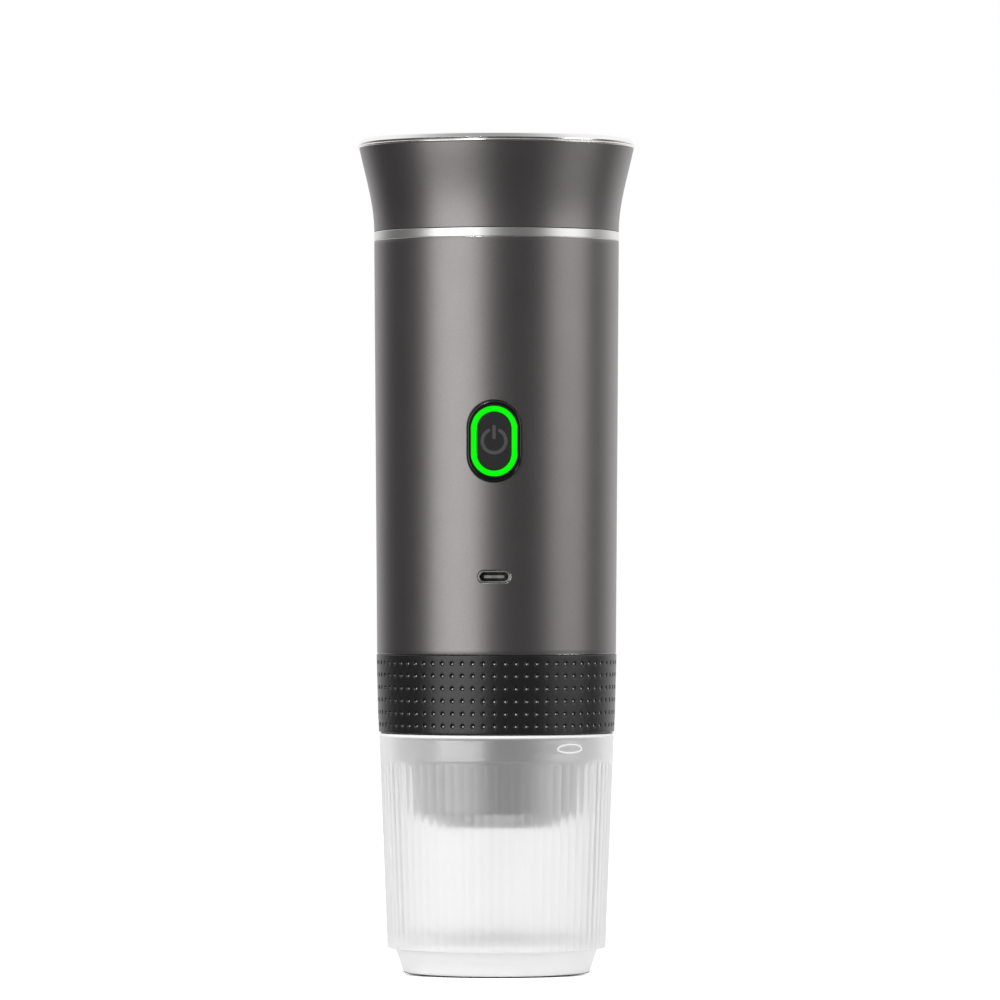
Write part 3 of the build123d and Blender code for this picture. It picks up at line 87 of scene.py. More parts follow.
# Lid: a flared shell, a rim of a bead below and a lip above, and a dished plate inside the rim
LID_BOTTOM, LID_TOP = 213.3, 237.4
LID_BOTTOM_RADIUS, LID_TOP_RADIUS, LID_LEAN, LID_WALL = 35.3, 39.6, 12.0, 1.3
LID_FOOT_BORE, LID_FOOT_THICKNESS, LID_FOOT_BORE_ROUND, LID_FOOT_ROUND = 33.0, 0.8, 0.1, 0.12
RIM_TOP, RIM_BORE, RIM_MOUTH_RADIUS, RIM_LEDGE = 240.0, 35.6, 37.2, 238.3
BEAD_RADIUS, BEAD_TOP, BEAD_ROUND = 40.0, 238.15, 0.37
RIM_NECK_RADIUS = 39.5
LIP_BOTTOM, LIP_BOTTOM_RADIUS, LIP_TOP_RADIUS = 238.65, 39.72, 38.84
LIP_BOTTOM_ROUND, LIP_OUTER_ROUND, LIP_INNER_ROUND = 0.05, 0.8, 0.3
PLATE_RADIUS, PLATE_EASE = 37.1, 0.1
DISH_RADIUS, DISH_MIDDLE, DISH_RISE = 36.9, 239.1, 0.5

# Button and charging inlet on the front; a front or a back is a place along Y
BUTTON_HEIGHT, BUTTON_STRAIGHT = 152.5, 3.45
BUTTON_HOLE_RADIUS, BUTTON_HOLE_STRAIGHT = 7.78, 3.95
BEZEL_RADIUS, BEZEL_BORE, BEZEL_STRETCH = 7.72, 6.6, 0.5
BEZEL_ROUND, BEZEL_INNER_ROUND = 0.7, 0.15
BEZEL_FRONT, BEZEL_BACK = -35.48, -33.0
LIGHT_RADIUS, LIGHT_BORE, LIGHT_ROUND = 6.52, 4.98, 0.15
LIGHT_FRONT, LIGHT_BACK = -35.38, -33.6
CAP_RADIUS, CAP_ROUND = 4.85, 0.2
CAP_FRONT, CAP_BACK = -35.23, -33.4
SIGN_RADIUS, SIGN_WIDTH, SIGN_EDGE, SIGN_GAP = 3.35, 1.0, 0.03, math.radians(28)
SIGN_BAR_LOW, SIGN_BAR_HIGH = 1.0, 4.1
SIGN_FRONT, SIGN_BACK = -35.35, -35.2
INLET_HEIGHT, INLET_STRAIGHT, INLET_HOLE_RADIUS = 114.0, 2.85, 1.85
SLEEVE_RADIUS, SLEEVE_BORE, SLEEVE_ROUND = 1.7, 1.3, 0.1
SLEEVE_FRONT, SLEEVE_BACK = -34.42, -26.2

# Grip band
GRIP_BOTTOM, GRIP_TOP = 69.2, 91.7
GRIP_BOTTOM_RADIUS, GRIP_TOP_RADIUS, GRIP_WALL, GRIP_ROUND = 34.0, 34.6, 1.3, 0.3
GRIP_MIDDLE_RADIUS = (GRIP_BOTTOM_RADIUS + GRIP_TOP_RADIUS) / 2
DIMPLE_ROWS = (71.5, 75.0, 78.6, 82.2, 85.8, 89.3)
DIMPLE_COLUMNS, DIMPLE_RADIUS, DIMPLE_DEPTH = 70, 0.66, 0.5
# Painted highlight in each dimple: how far it sits under and right of the middle, and the radius of its full
# core and of its fading edge
HIGHLIGHT_DROP, HIGHLIGHT_ASIDE, HIGHLIGHT_CORE, HIGHLIGHT_REACH = 0.15, 0.06, 0.1, 0.27

# Cup
CUP_HEIGHT, CUP_TOP_RADIUS, CUP_WALL, CUP_FLOOR = 68.9, 33.88, 2.6, 4.0
CUP_LIP_ROUND, CUP_INNER_ROUND, CUP_MIDDLE_RING = 0.5, 6.0, 12.0
REED_BOTTOM, REED_TOP, REED_BOTTOM_RADIUS = 7.0, 61.0, 31.48
REED_COUNT, REED_DEPTH, REED_COLUMNS = 72, 0.22, 8
FOOT_TOP_RADIUS, FOOT_RADIUS, FOOT_RECESS, FOOT_RECESS_RADIUS = 29.2, 26.9, 0.8, 23.9
OVAL_ANGLE, OVAL_HEIGHT = math.radians(-50.5), 65.0
OVAL_LENGTH, OVAL_WIDTH, OVAL_PROUD, OVAL_RIDGE = 8.6, 2.4, 0.35, 0.22
OVAL_TURN, OVAL_COLUMN = math.radians(9), math.radians(0.25)
MILK_WALL, MILK_FOOT = 0.1, 0.75

# Outlet housing, seen through the cup: a collar, and a tapered holder with a bevelled foot
HOLDER_BOTTOM, HOLDER_BEVEL_TOP, COLLAR_BOTTOM, COLLAR_SHELF = 42.0, 46.0, 61.0, 62.4
HOLDER_OPENING, HOLDER_FLAT, HOLDER_FOOT_RADIUS, HOLDER_TOP_RADIUS = 16.02, 16.6, 25.0, 26.99
HOLDER_WALL, HOLDER_FLOOR, HOLDER_LEDGE = 1.4, 1.6, 18.2
COLLAR_RADIUS, COLLAR_BORE = 30.49, 28.1
CUP_SEAL_HEIGHT, CUP_SEAL_CIRCLE, CUP_SEAL_RADIUS = 67.9, 30.19, 0.6

# Spring of the check valve, and the length at each end that keeps to what it stands on
SPRING_RADIUS, SPRING_WIRE, SPRING_TURNS, SPRING_END = 1.6, 0.45, 4, 0.4


# Shapes

def surface(name, grids, loop_rows=False, loop_columns=False):
    """One piece from grids of points in millimetres, each shaped (rows, columns, 3).

    Neighbouring points span four-sided faces; a looped direction joins its last points to its
    first. Points that coincide are merged, which closes seams and poles, and the faces are
    turned outwards."""
    mesh = bpy.data.meshes.new(name)
    points, faces, count = [], [], 0
    for grid in grids:
        rows, columns = grid.shape[:2]
        index = count + np.arange(rows * columns).reshape(rows, columns)
        count += rows * columns
        if loop_rows:
            index = np.vstack([index, index[:1]])
        if loop_columns:
            index = np.hstack([index, index[:, :1]])
        corners = (index[:-1, :-1], index[:-1, 1:], index[1:, 1:], index[1:, :-1])
        points.append(grid.reshape(-1, 3))
        faces.append(np.stack(corners, axis=-1).reshape(-1, 4))
    points, faces = np.vstack(points) * MM, np.vstack(faces)
    mesh.vertices.add(len(points))
    mesh.vertices.foreach_set("co", points.astype(np.float32).ravel())
    mesh.loops.add(faces.size)
    mesh.loops.foreach_set("vertex_index", faces.astype(np.int32).ravel())
    mesh.polygons.add(len(faces))
    mesh.polygons.foreach_set("loop_start", np.arange(0, faces.size, 4, dtype=np.int32))
    mesh.update(calc_edges=True)
    shape = bmesh.new()
    shape.from_mesh(mesh)
    bmesh.ops.remove_doubles(shape, verts=shape.verts, dist=MERGE_GAP * MM)
    bmesh.ops.dissolve_degenerate(shape, edges=shape.edges, dist=SHORTEST_EDGE * MM)
    bmesh.ops.recalc_face_normals(shape, faces=shape.faces)
    shape.to_mesh(mesh)
    shape.free()
    mesh.shade_smooth()
    mesh.set_sharp_from_angle(angle=SHARP_ANGLE)
    piece = bpy.data.objects.new(name, mesh)
    bpy.context.scene.collection.objects.link(piece)
    return piece


def mark(piece, name, level):
    """Stores level(points in millimetres) at the points of a piece, for its material."""
    points = np.empty(3 * len(piece.data.vertices), np.float32)
    piece.data.vertices.foreach_get("co", points)
    values = level(points.reshape(-1, 3) / MM).astype(np.float32)
    piece.data.attributes.new(name, "FLOAT", "POINT").data.foreach_set("value", values)


def rounded(corners, steps=6, hold=0.15):
    """A closed outline through corners (across, along, radius).

    Each corner is the circular arc that touches both its sides at A and B, written as the
    weighted mean of A, the corner P and B with weights (1-t)^2, 2wt(1-t) and t^2, where w is the
    sine of half the corner's angle. One more point on each side, at most 0.48 of the way along it,
    holds the flat's shading, so a corner has steps + 3 points."""
    corners = np.array(corners, float)
    tip, radius = corners[:, None, :2], corners[:, None, 2:]
    back = np.roll(tip, 1, 0) - tip
    ahead = np.roll(tip, -1, 0) - tip
    back_length = np.linalg.norm(back, axis=2, keepdims=True)
    ahead_length = np.linalg.norm(ahead, axis=2, keepdims=True)
    back, ahead = back / back_length, ahead / ahead_length
    half = np.arccos(np.clip((back * ahead).sum(2, keepdims=True), -1, 1)) / 2
    reach = radius / np.tan(half)
    t = np.linspace(0, 1, steps + 1)[None, :, None]
    weights = (1 - t) ** 2, 2 * np.sin(half) * t * (1 - t), t ** 2
    arc = weights[0] * (tip + back * reach) + weights[1] * tip + weights[2] * (tip + ahead * reach)
    arc = arc / sum(weights)
    first = tip + back * np.minimum(reach + hold, 0.48 * back_length)
    last = tip + ahead * np.minimum(reach + hold, 0.48 * ahead_length)
    return np.concatenate([first, arc, last], axis=1).reshape(-1, 2)


def turned(name, outline, columns=192):
    """A turned piece: every outline point (r, z) goes round the axis as (r cos a, r sin a, z)."""
    angle = np.linspace(0, 2 * np.pi, columns, endpoint=False)
    r, z = outline[:, :1], outline[:, 1:]
    grid = np.stack([r * np.cos(angle), r * np.sin(angle), z + 0 * angle], axis=-1)
    return surface(name, [grid], loop_rows=True, loop_columns=True)


def stadium(name, outline, straight, height, upright=True, looped=True, steps=28):
    """A piece carried round a stadium on the front of the body.

    The outline gives (reach, y). At turn angle a the point lies at the end of the straight middle
    line plus reach (cos a, sin a); the upper half circle uses the upper end, the lower half circle
    the lower end, and the faces between them are the straight sides."""
    turn = np.linspace(0, np.pi, steps)
    angle = np.concatenate([turn, turn + np.pi])
    end = np.repeat([1.0, -1.0], steps)
    reach, y = outline[:, :1], outline[:, 1:2]
    across = reach * np.cos(angle)
    along = np.reshape(straight, (-1, 1)) * end + reach * np.sin(angle)
    x, z = (across, along) if upright else (along, across)
    grid = np.stack([x, y + 0 * x, height + z], axis=-1)
    return surface(name, [grid], loop_rows=looped, loop_columns=True)


def stroke(line, ends, width, front, back, edge, tip=7):
    """A printed stroke with round ends along a flat line in x and z.

    At each point it is the root of (w^2 - d^2) to each side, where w is half the stroke's width and d
    how far the point has run past the end of the line, so it falls to nothing over the tip, the
    number of points at each end; the section is a low slab with eased edges."""
    half = width / 2
    past = half * np.sin(np.linspace(0, np.pi / 2, tip))
    steps = np.concatenate([-past[::-1], np.zeros(len(line) - 2), past])
    spine = np.concatenate([np.repeat(line[:1], tip, 0), line[1:-1], np.repeat(line[-1:], tip, 0)])
    heading = np.concatenate([np.repeat(ends[:1], tip, 0), np.gradient(line, axis=0)[1:-1],
                              np.repeat(ends[-1:], tip, 0)])
    heading = heading / np.linalg.norm(heading, axis=1, keepdims=True)
    spine = spine + heading * steps[:, None]
    wide = np.sqrt(np.maximum(half ** 2 - steps ** 2, 0))[:, None]
    section = np.array([[-1, back], [-1, front + edge], [-1 + 2 * edge, front], [1 - 2 * edge, front],
                        [1, front + edge], [1, back]])
    x = spine[:, :1] - heading[:, 1:] * wide * section[:, 0]
    z = spine[:, 1:] + heading[:, :1] * wide * section[:, 0]
    return np.stack([x, section[:, 1] + 0 * x, z], axis=-1)


def smooth_step(value, low, high):
    """0 below low, 1 above high, and 3t^2 - 2t^3 between them."""
    t = np.clip((value - low) / (high - low), 0, 1)
    return t * t * (3 - 2 * t)


def taper(z, low, low_radius, high, high_radius):
    """Radius at height z on the straight line between two radii."""
    return low_radius + (z - low) / (high - low) * (high_radius - low_radius)


def body_radius(z):
    """Outer radius of the body at height z."""
    return taper(z, BODY_BOTTOM, BODY_BOTTOM_RADIUS, BODY_TOP, BODY_TOP_RADIUS)


def lid_outline():
    """The lid's wall: the cubic that leaves the foot upright and meets the rim at its lean, the
    same curve moved inwards by the wall along its normal, and a flange inside the foot. Of the foot's
    outline the first two corners, of 9 points each, are kept."""
    t = np.linspace(0, 1, 40)[:, None]
    foot, rim = np.array([LID_BOTTOM_RADIUS, LID_BOTTOM]), np.array([LID_TOP_RADIUS, LID_TOP])
    chord = np.linalg.norm(rim - foot)
    lean = math.radians(LID_LEAN)
    start, stop = chord * np.array([0, 1]), chord * np.array([math.sin(lean), math.cos(lean)])
    outer = ((2 * t ** 3 - 3 * t ** 2 + 1) * foot + (t ** 3 - 2 * t ** 2 + t) * start
             + (3 * t ** 2 - 2 * t ** 3) * rim + (t ** 3 - t ** 2) * stop)
    slope = np.gradient(outer, axis=0)
    slope = slope / np.linalg.norm(slope, axis=1, keepdims=True)
    inner = outer + LID_WALL * np.stack([-slope[:, 1], slope[:, 0]], axis=1)
    flange = LID_BOTTOM + LID_FOOT_THICKNESS
    inner = inner[(inner[:, 1] > flange + 0.1) & (inner[:, 1] < LID_TOP)]
    above = LID_BOTTOM + 3
    foot_edge = rounded([(LID_FOOT_BORE, LID_BOTTOM, LID_FOOT_BORE_ROUND),
                         (LID_BOTTOM_RADIUS, LID_BOTTOM, LID_FOOT_ROUND),
                         (LID_BOTTOM_RADIUS, above, 0), (LID_FOOT_BORE, above, 0)])[:2 * 9]
    outer = outer[outer[:, 1] > foot_edge[-1, 1] + 0.05]
    lip = [[inner[-1, 0], LID_TOP]]
    under = [[LID_BOTTOM_RADIUS - LID_WALL, flange], [LID_FOOT_BORE, flange]]
    return np.vstack([foot_edge, outer, lip, inner[::-1], under])


def body_sheet():
    """The body's outer skin as blocks of a grid on the tapered tube, with two openings.

    Outside a window on the front the grid follows angle and height. Round each opening a block
    runs from the stadium's edge to the window's border: the edge point is the nearest point of the
    stadium's middle line plus its radius towards the border point, the points between lie on the
    line from edge to border in x and z, and y puts them back on the tube."""
    angle = np.radians(np.arange(WINDOW_TURN, 361 - WINDOW_TURN, BODY_COLUMN)) + FRONT
    window = np.radians(np.arange(-WINDOW_TURN, WINDOW_TURN + 0.1, BODY_COLUMN)) + FRONT
    marks = (BODY_BOTTOM, INLET_HEIGHT - INLET_WINDOW, INLET_HEIGHT + INLET_WINDOW,
             BUTTON_HEIGHT - BUTTON_WINDOW, BUTTON_HEIGHT + BUTTON_WINDOW, BODY_TOP)
    counts = (10, 14, 12, 26, 30)
    spans = [np.linspace(low, high, count + 1) for low, high, count in zip(marks, marks[1:], counts)]
    heights = np.concatenate([span[:-1] for span in spans[:-1]] + [spans[-1]])

    def on_tube(columns, rows):
        radius = body_radius(rows)[:, None]
        return np.stack([radius * np.cos(columns), radius * np.sin(columns),
                         rows[:, None] + 0 * columns], -1)

    def round_opening(rows, height, radius, straight, upright):
        sides = [(np.full(len(rows), window[-1]), rows),
                 (window[::-1], np.full(len(window), rows[-1])),
                 (np.full(len(rows), window[0]), rows[::-1]),
                 (window, np.full(len(window), rows[0]))]
        columns = np.concatenate([side[0][:-1] for side in sides])
        levels = np.concatenate([side[1][:-1] for side in sides])
        border = np.stack([body_radius(levels) * np.cos(columns), levels - height], -1)
        limit = np.array([0, straight] if upright else [straight, 0])
        middle = np.clip(border, -limit, limit)
        edge = border - middle
        edge = middle + radius * edge / np.linalg.norm(edge, axis=1, keepdims=True)
        share = (np.linspace(0, 1, 9) ** 1.6)[:, None, None]
        flat = edge + share * (border - edge)
        x, z = flat[..., 0], flat[..., 1] + height
        grid = np.stack([x, -np.sqrt(body_radius(z) ** 2 - x ** 2), z], -1)
        return np.concatenate([grid, grid[:, :1]], axis=1)

    return [on_tube(angle, heights), on_tube(window, spans[0]), on_tube(window, spans[2]),
            on_tube(window, spans[4]),
            round_opening(spans[1], INLET_HEIGHT, INLET_HOLE_RADIUS, INLET_STRAIGHT, False),
            round_opening(spans[3], BUTTON_HEIGHT, BUTTON_HOLE_RADIUS, BUTTON_HOLE_STRAIGHT, True)]


def grip_grid():
    """The rubber sleeve: a tapered band with rounded edges, less a round bowl at each dimple.

    The bowl's depth is the full depth times (1 - (d / radius)^2), where d is the distance to the
    dimple's middle on the band, and nothing beyond the radius. Rows and columns crowd together
    over the dimples."""
    pitch = 2 * np.pi / DIMPLE_COLUMNS
    across = np.array([-1.0, -0.8, -0.55, -0.3, 0.0, 0.3, 0.55, 0.8, 1.0]) * DIMPLE_RADIUS
    across = np.concatenate([across / GRIP_MIDDLE_RADIUS, [pitch * 0.33, pitch * 0.5, pitch * 0.67]])
    angle = (np.arange(DIMPLE_COLUMNS)[:, None] * pitch + across).ravel() + FRONT
    level = np.array([-1.0, -0.85, -0.6, -0.3, 0.0, 0.3, 0.6, 0.85, 1.0, 1.9, 3.2]) * DIMPLE_RADIUS
    rows = (np.array(DIMPLE_ROWS)[:, None] + level).ravel()
    rows = rows[rows < GRIP_TOP - 1.0]
    quarter = np.linspace(0, np.pi / 2, 7)
    z = np.concatenate([GRIP_BOTTOM + GRIP_ROUND * (1 - np.sin(quarter[::-1])), rows,
                        GRIP_TOP - GRIP_ROUND * (1 - np.sin(quarter))])
    z = np.concatenate([[GRIP_BOTTOM], z[np.argsort(z[:-7], kind="stable")], z[-7:], [GRIP_TOP]])
    r = taper(z, GRIP_BOTTOM, GRIP_BOTTOM_RADIUS, GRIP_TOP, GRIP_TOP_RADIUS)
    low, high = GRIP_BOTTOM + GRIP_ROUND - z, z - GRIP_TOP + GRIP_ROUND
    over = np.clip(np.maximum(low, high), 0, GRIP_ROUND)
    r = r - GRIP_ROUND + np.sqrt(np.maximum(GRIP_ROUND ** 2 - over ** 2, 0))
    r[0], r[-1] = GRIP_BOTTOM_RADIUS - GRIP_WALL, GRIP_TOP_RADIUS - GRIP_WALL
    turn = (angle - FRONT + pitch / 2) % pitch - pitch / 2
    rise = np.abs(z[:, None] - np.array(DIMPLE_ROWS)).min(axis=1)
    distance = np.hypot(GRIP_MIDDLE_RADIUS * turn, rise[:, None]) / DIMPLE_RADIUS
    r = r[:, None] - DIMPLE_DEPTH * np.maximum(1 - distance ** 2, 0)
    return np.stack([r * np.cos(angle), r * np.sin(angle), z[:, None] + 0 * angle], -1)


def grip_painted_highlights(points):
    """1 on the painted highlight in each bowl: a pale dot a little under and right of its middle,
    fading to 0 at its reach."""
    pitch = 2 * np.pi / DIMPLE_COLUMNS
    turn = (np.arctan2(points[:, 1], points[:, 0]) - FRONT + pitch / 2) % pitch - pitch / 2
    rise = np.abs(points[:, 2:] + HIGHLIGHT_DROP - np.array(DIMPLE_ROWS)).min(axis=1)
    return 1 - smooth_step(np.hypot(GRIP_MIDDLE_RADIUS * turn - HIGHLIGHT_ASIDE, rise), HIGHLIGHT_CORE, HIGHLIGHT_REACH)


def cup_grid():
    """The cup's wall as one outline carried round the axis, from the middle of its underside over
    the foot, the reeded wall, the plain band and the lip down to the middle of its floor.

    On the reeded wall the radius falls from the crest by depth times (2f)^2, where f runs from
    -1/2 to 1/2 across a reed, so each reed is a convex arc; the depth fades to nothing at the plain
    band. The oval is a low ridge: its height falls as exp(-(d / ridge)^2) with d, the distance in
    millimetres from the edge of an ellipse."""
    angle = np.linspace(0, 2 * np.pi, REED_COUNT * REED_COLUMNS, endpoint=False)
    near = np.abs((angle - OVAL_ANGLE + np.pi) % (2 * np.pi) - np.pi) < OVAL_TURN
    fine = OVAL_ANGLE + np.arange(-OVAL_TURN, OVAL_TURN + OVAL_COLUMN / 2, OVAL_COLUMN)
    angle = np.sort(np.concatenate([angle[~near], fine % (2 * np.pi)]))

    def crest(z):
        return taper(z, REED_BOTTOM, REED_BOTTOM_RADIUS, CUP_HEIGHT, CUP_TOP_RADIUS)

    under = rounded([(0.0, FOOT_RECESS, 0), (FOOT_RECESS_RADIUS, FOOT_RECESS, 0.4),
                     (FOOT_RECESS_RADIUS + 0.3, 0.0, 0.3), (FOOT_RADIUS - 0.1, 0.0, 1.2),
                     (FOOT_TOP_RADIUS, REED_BOTTOM, 0.5), (crest(REED_BOTTOM), REED_BOTTOM, 0.5),
                     (crest(20.0), 20.0, 0), (0.0, 20.0, 0)])
    # A corner has 9 points: the corners on the axis and on the wall are left out, and the last point
    # of the wall's foot.
    under = np.vstack([[0.0, FOOT_RECESS], [CUP_MIDDLE_RING, FOOT_RECESS], under[9:6 * 9 - 1]])
    # Heights on the wall: the reeds, their fading, the plain band, the oval and the start of the lip
    wall_z = np.concatenate([np.linspace(REED_BOTTOM + 1.0, REED_TOP - 1.6, 14),
                             np.linspace(REED_TOP - 1.2, REED_TOP + 0.4, 9),
                             np.linspace(REED_TOP + 0.8, OVAL_HEIGHT - 2.0, 4),
                             np.linspace(OVAL_HEIGHT - 1.8, OVAL_HEIGHT + 1.8, 25),
                             CUP_HEIGHT - np.array([1.7, 1.1, 0.7])])
    wall = np.stack([crest(wall_z), wall_z], -1)
    inner_top, inner_low = crest(CUP_HEIGHT) - CUP_WALL, crest(CUP_FLOOR) - CUP_WALL
    over = rounded([(crest(60.0), 60.0, 0), (crest(CUP_HEIGHT), CUP_HEIGHT, CUP_LIP_ROUND),
                    (inner_top, CUP_HEIGHT, CUP_LIP_ROUND), (inner_low, CUP_FLOOR, CUP_INNER_ROUND),
                    (0.0, CUP_FLOOR, 0)], steps=10)
    # Here a corner has 13 points: the lip is the second, less its first point, and the third, and the
    # round above the floor is the fourth.
    lip, floor_round = over[14:3 * 13], over[3 * 13:4 * 13]
    inner_z = np.concatenate([CUP_HEIGHT - np.array([1.0, 1.3]), np.linspace(58.0, 18.0, 5),
                              [CUP_FLOOR + CUP_INNER_ROUND + 2.0]])
    inner = np.stack([taper(inner_z, CUP_FLOOR, inner_low, CUP_HEIGHT, inner_top), inner_z], -1)
    floor_middle = [[CUP_MIDDLE_RING, CUP_FLOOR], [0.0, CUP_FLOOR]]
    outline = np.vstack([under, wall, lip, inner, floor_round, floor_middle])
    r, z = outline[:, :1], outline[:, 1:]
    outside = np.zeros((len(outline), 1))
    outside[:len(under) + len(wall)] = 1
    across = (angle / (2 * np.pi) * REED_COUNT) % 1 - 0.5
    fade = outside * (1 - smooth_step(z, REED_TOP - 1.2, REED_TOP + 0.2))
    fade = fade * smooth_step(r, FOOT_TOP_RADIUS + 0.8, FOOT_TOP_RADIUS + 1.6)
    r = r - fade * REED_DEPTH * (2 * across) ** 2
    # The distance to the ellipse is how far its equation is off, over the slope of that; near the
    # middle of the ellipse it is taken as 9 mm.
    turn = (angle - OVAL_ANGLE + np.pi) % (2 * np.pi) - np.pi
    along, rise = turn * CUP_TOP_RADIUS, z - OVAL_HEIGHT
    value = np.hypot(along / (OVAL_LENGTH / 2), rise / (OVAL_WIDTH / 2))
    slope = np.hypot(along / (OVAL_LENGTH / 2) ** 2, rise / (OVAL_WIDTH / 2) ** 2)
    distance = np.where(value < 0.3, 9, (1 - value) * value / np.maximum(slope, 1e-6))
    r = r + outside * OVAL_PROUD * np.exp(-(distance / OVAL_RIDGE) ** 2)
    return np.stack([r * np.cos(angle), r * np.sin(angle), z + 0 * angle], -1)


def cup_milk(points):
    """How milky the cup is at each point: 0 on the polished inside and underneath, a little outside,
    rising down the thick foot, and 1 on the top of the lip and on the ridge of the oval, where the
    radius stands proud of the plain band."""
    radius, z = np.hypot(points[:, 0], points[:, 1]), points[:, 2]
    proud = radius - taper(z, REED_BOTTOM, REED_BOTTOM_RADIUS, CUP_HEIGHT, CUP_TOP_RADIUS)
    outside = (proud > -CUP_WALL / 2) | ((z < REED_BOTTOM + 0.3) & (radius > FOOT_RADIUS - 1))
    foot = 1 - smooth_step(z, REED_BOTTOM - 1.5, REED_BOTTOM + 5.5)
    wall = (MILK_WALL + (MILK_FOOT - MILK_WALL) * foot) * outside
    lip = smooth_step(z, CUP_HEIGHT - 0.9, CUP_HEIGHT - 0.6)
    oval = smooth_step(proud, 0.08, 0.25) * (z > REED_TOP)
    return np.maximum.reduce([wall, lip, oval])


def outlet_outline():
    """The outlet housing: a straight bevel from the flat foot to the tapered wall, the collar with a
    groove for its seal, and the bore, wall and floor inside. The groove is that part of the seal's
    round section that lies within the collar."""
    corners = [(HOLDER_OPENING, HOLDER_BOTTOM, 0), (HOLDER_FLAT, HOLDER_BOTTOM, 0.8),
               (HOLDER_FOOT_RADIUS, HOLDER_BEVEL_TOP, 1.2), (HOLDER_TOP_RADIUS, COLLAR_BOTTOM, 0),
               (COLLAR_RADIUS, COLLAR_BOTTOM, 0.5), (COLLAR_RADIUS, CUP_HEIGHT, 0),
               (COLLAR_BORE, CUP_HEIGHT, 0), (COLLAR_BORE, COLLAR_SHELF, 0),
               (HOLDER_TOP_RADIUS - HOLDER_WALL, COLLAR_SHELF, 0),
               (HOLDER_FOOT_RADIUS - HOLDER_WALL, HOLDER_BEVEL_TOP + 1.0, 1.0),
               (HOLDER_LEDGE, HOLDER_BOTTOM + HOLDER_FLOOR, 0),
               (HOLDER_OPENING, HOLDER_BOTTOM + HOLDER_FLOOR, 0)]
    outline = rounded(corners)
    each = len(outline) // len(corners)
    mouth = math.acos((COLLAR_RADIUS - CUP_SEAL_CIRCLE) / CUP_SEAL_RADIUS)
    round_seal = np.linspace(-mouth, mouth - 2 * np.pi, 17)
    groove = (np.array([CUP_SEAL_CIRCLE, CUP_SEAL_HEIGHT])
              + CUP_SEAL_RADIUS * np.stack([np.cos(round_seal), np.sin(round_seal)], -1))
    return np.vstack([outline[:5 * each], groove, outline[5 * each:]])


def spring_grid(middle, low, high):
    """The valve's coil spring, standing on its axis between two heights.

    The middle of the wire climbs evenly round a circle; round it goes the wire's circular section,
    in the plane of the line out from the axis and the line square to that and to the wire. Each end
    of the wire closes on its middle."""
    turn = np.linspace(0, 2 * np.pi * SPRING_TURNS, 40 * SPRING_TURNS + 1)[:, None]
    rise = (high - low - SPRING_WIRE) / turn[-1, 0]
    out = np.hstack([np.cos(turn), np.sin(turn), 0 * turn])
    along = np.hstack([-SPRING_RADIUS * np.sin(turn), SPRING_RADIUS * np.cos(turn), rise + 0 * turn])
    up = np.cross(out, along / np.linalg.norm(along, axis=1, keepdims=True))
    base = np.array([*middle, low + SPRING_WIRE / 2])
    spine = base + SPRING_RADIUS * out + [0, 0, 1] * (rise * turn)
    round_wire = np.linspace(0, 2 * np.pi, 12, endpoint=False)[:, None]
    section = np.cos(round_wire) * out[:, None] + np.sin(round_wire) * up[:, None]
    grid = spine[:, None] + SPRING_WIRE / 2 * section
    ends = np.repeat(spine[[0, -1], None], len(round_wire), axis=1)
    return np.concatenate([ends[:1], grid, ends[1:]])


# Materials

def linear(code):
    """An sRGB hex colour as linear red, green, blue and alpha."""
    channel = np.array([int(code[i:i + 2], 16) for i in (1, 3, 5)]) / 255
    channel = np.where(channel <= 0.04045, channel / 12.92, ((channel + 0.055) / 1.055) ** 2.4)
    return (*channel.tolist(), 1.0)


def feed(tree, node, inputs):
    """Gives a node its inputs: each is a value, or a socket that is linked to it."""
    for key, value in inputs.items():
        if isinstance(value, bpy.types.NodeSocket):
            tree.links.new(value, node.inputs[key])
        else:
            node.inputs[key].default_value = value


def add(tree, kind, inputs=None, stops=(), **settings):
    """Adds one node with its inputs and settings; stops are a colour ramp's (position, hex colour or
    grey level)."""
    node = tree.nodes.new("ShaderNode" + kind)
    for name, value in settings.items():
        setattr(node, name, value)
    for i, (position, level) in enumerate(stops):
        element = node.color_ramp.elements[i] if i < 2 else node.color_ramp.elements.new(position)
        element.position = position
        element.color = linear(level) if isinstance(level, str) else (level, level, level, 1.0)
    feed(tree, node, inputs or {})
    return node


def finish(name, **values):
    """Starts a material: one Principled shader with its uniform values, and Object coordinates."""
    made = bpy.data.materials.new(name)
    made.use_nodes = True
    tree = made.node_tree
    tree.nodes.clear()
    shader = add(tree, "BsdfPrincipled", {key.replace("_", " "): value for key, value in values.items()})
    add(tree, "OutputMaterial", {"Surface": shader.outputs[0]})
    return made, tree, shader, add(tree, "TexCoord").outputs["Object"]


def per_mm(size):
    """Texture scale, per metre, of a pattern whose feature is this many millimetres."""
    return 1 / (size * MM)


def mottled(name, low, high, size, detail, gloss=None, relief=None, **values):
    """A finish that follows one noise of a size in millimetres: the colours of its low and high
    parts, and, where they are given, the range of its roughness and the strength and depth, in
    millimetres, of its relief."""
    made, tree, shader, place = finish(name, **values)
    noise = add(tree, "TexNoise", {"Vector": place, "Scale": per_mm(size), "Detail": detail}).outputs["Fac"]
    shade = add(tree, "ValToRGB", {"Fac": noise}, stops=((0.3, low), (0.7, high)))
    feed(tree, shader, {"Base Color": shade.outputs["Color"]})
    if gloss:
        rough = add(tree, "MapRange", {"Value": noise, "To Min": gloss[0], "To Max": gloss[1]})
        feed(tree, shader, {"Roughness": rough.outputs[0]})
    if relief:
        bump = add(tree, "Bump", {"Height": noise, "Strength": relief[0], "Distance": relief[1] * MM})
        feed(tree, shader, {"Normal": bump.outputs[0]})
    return made


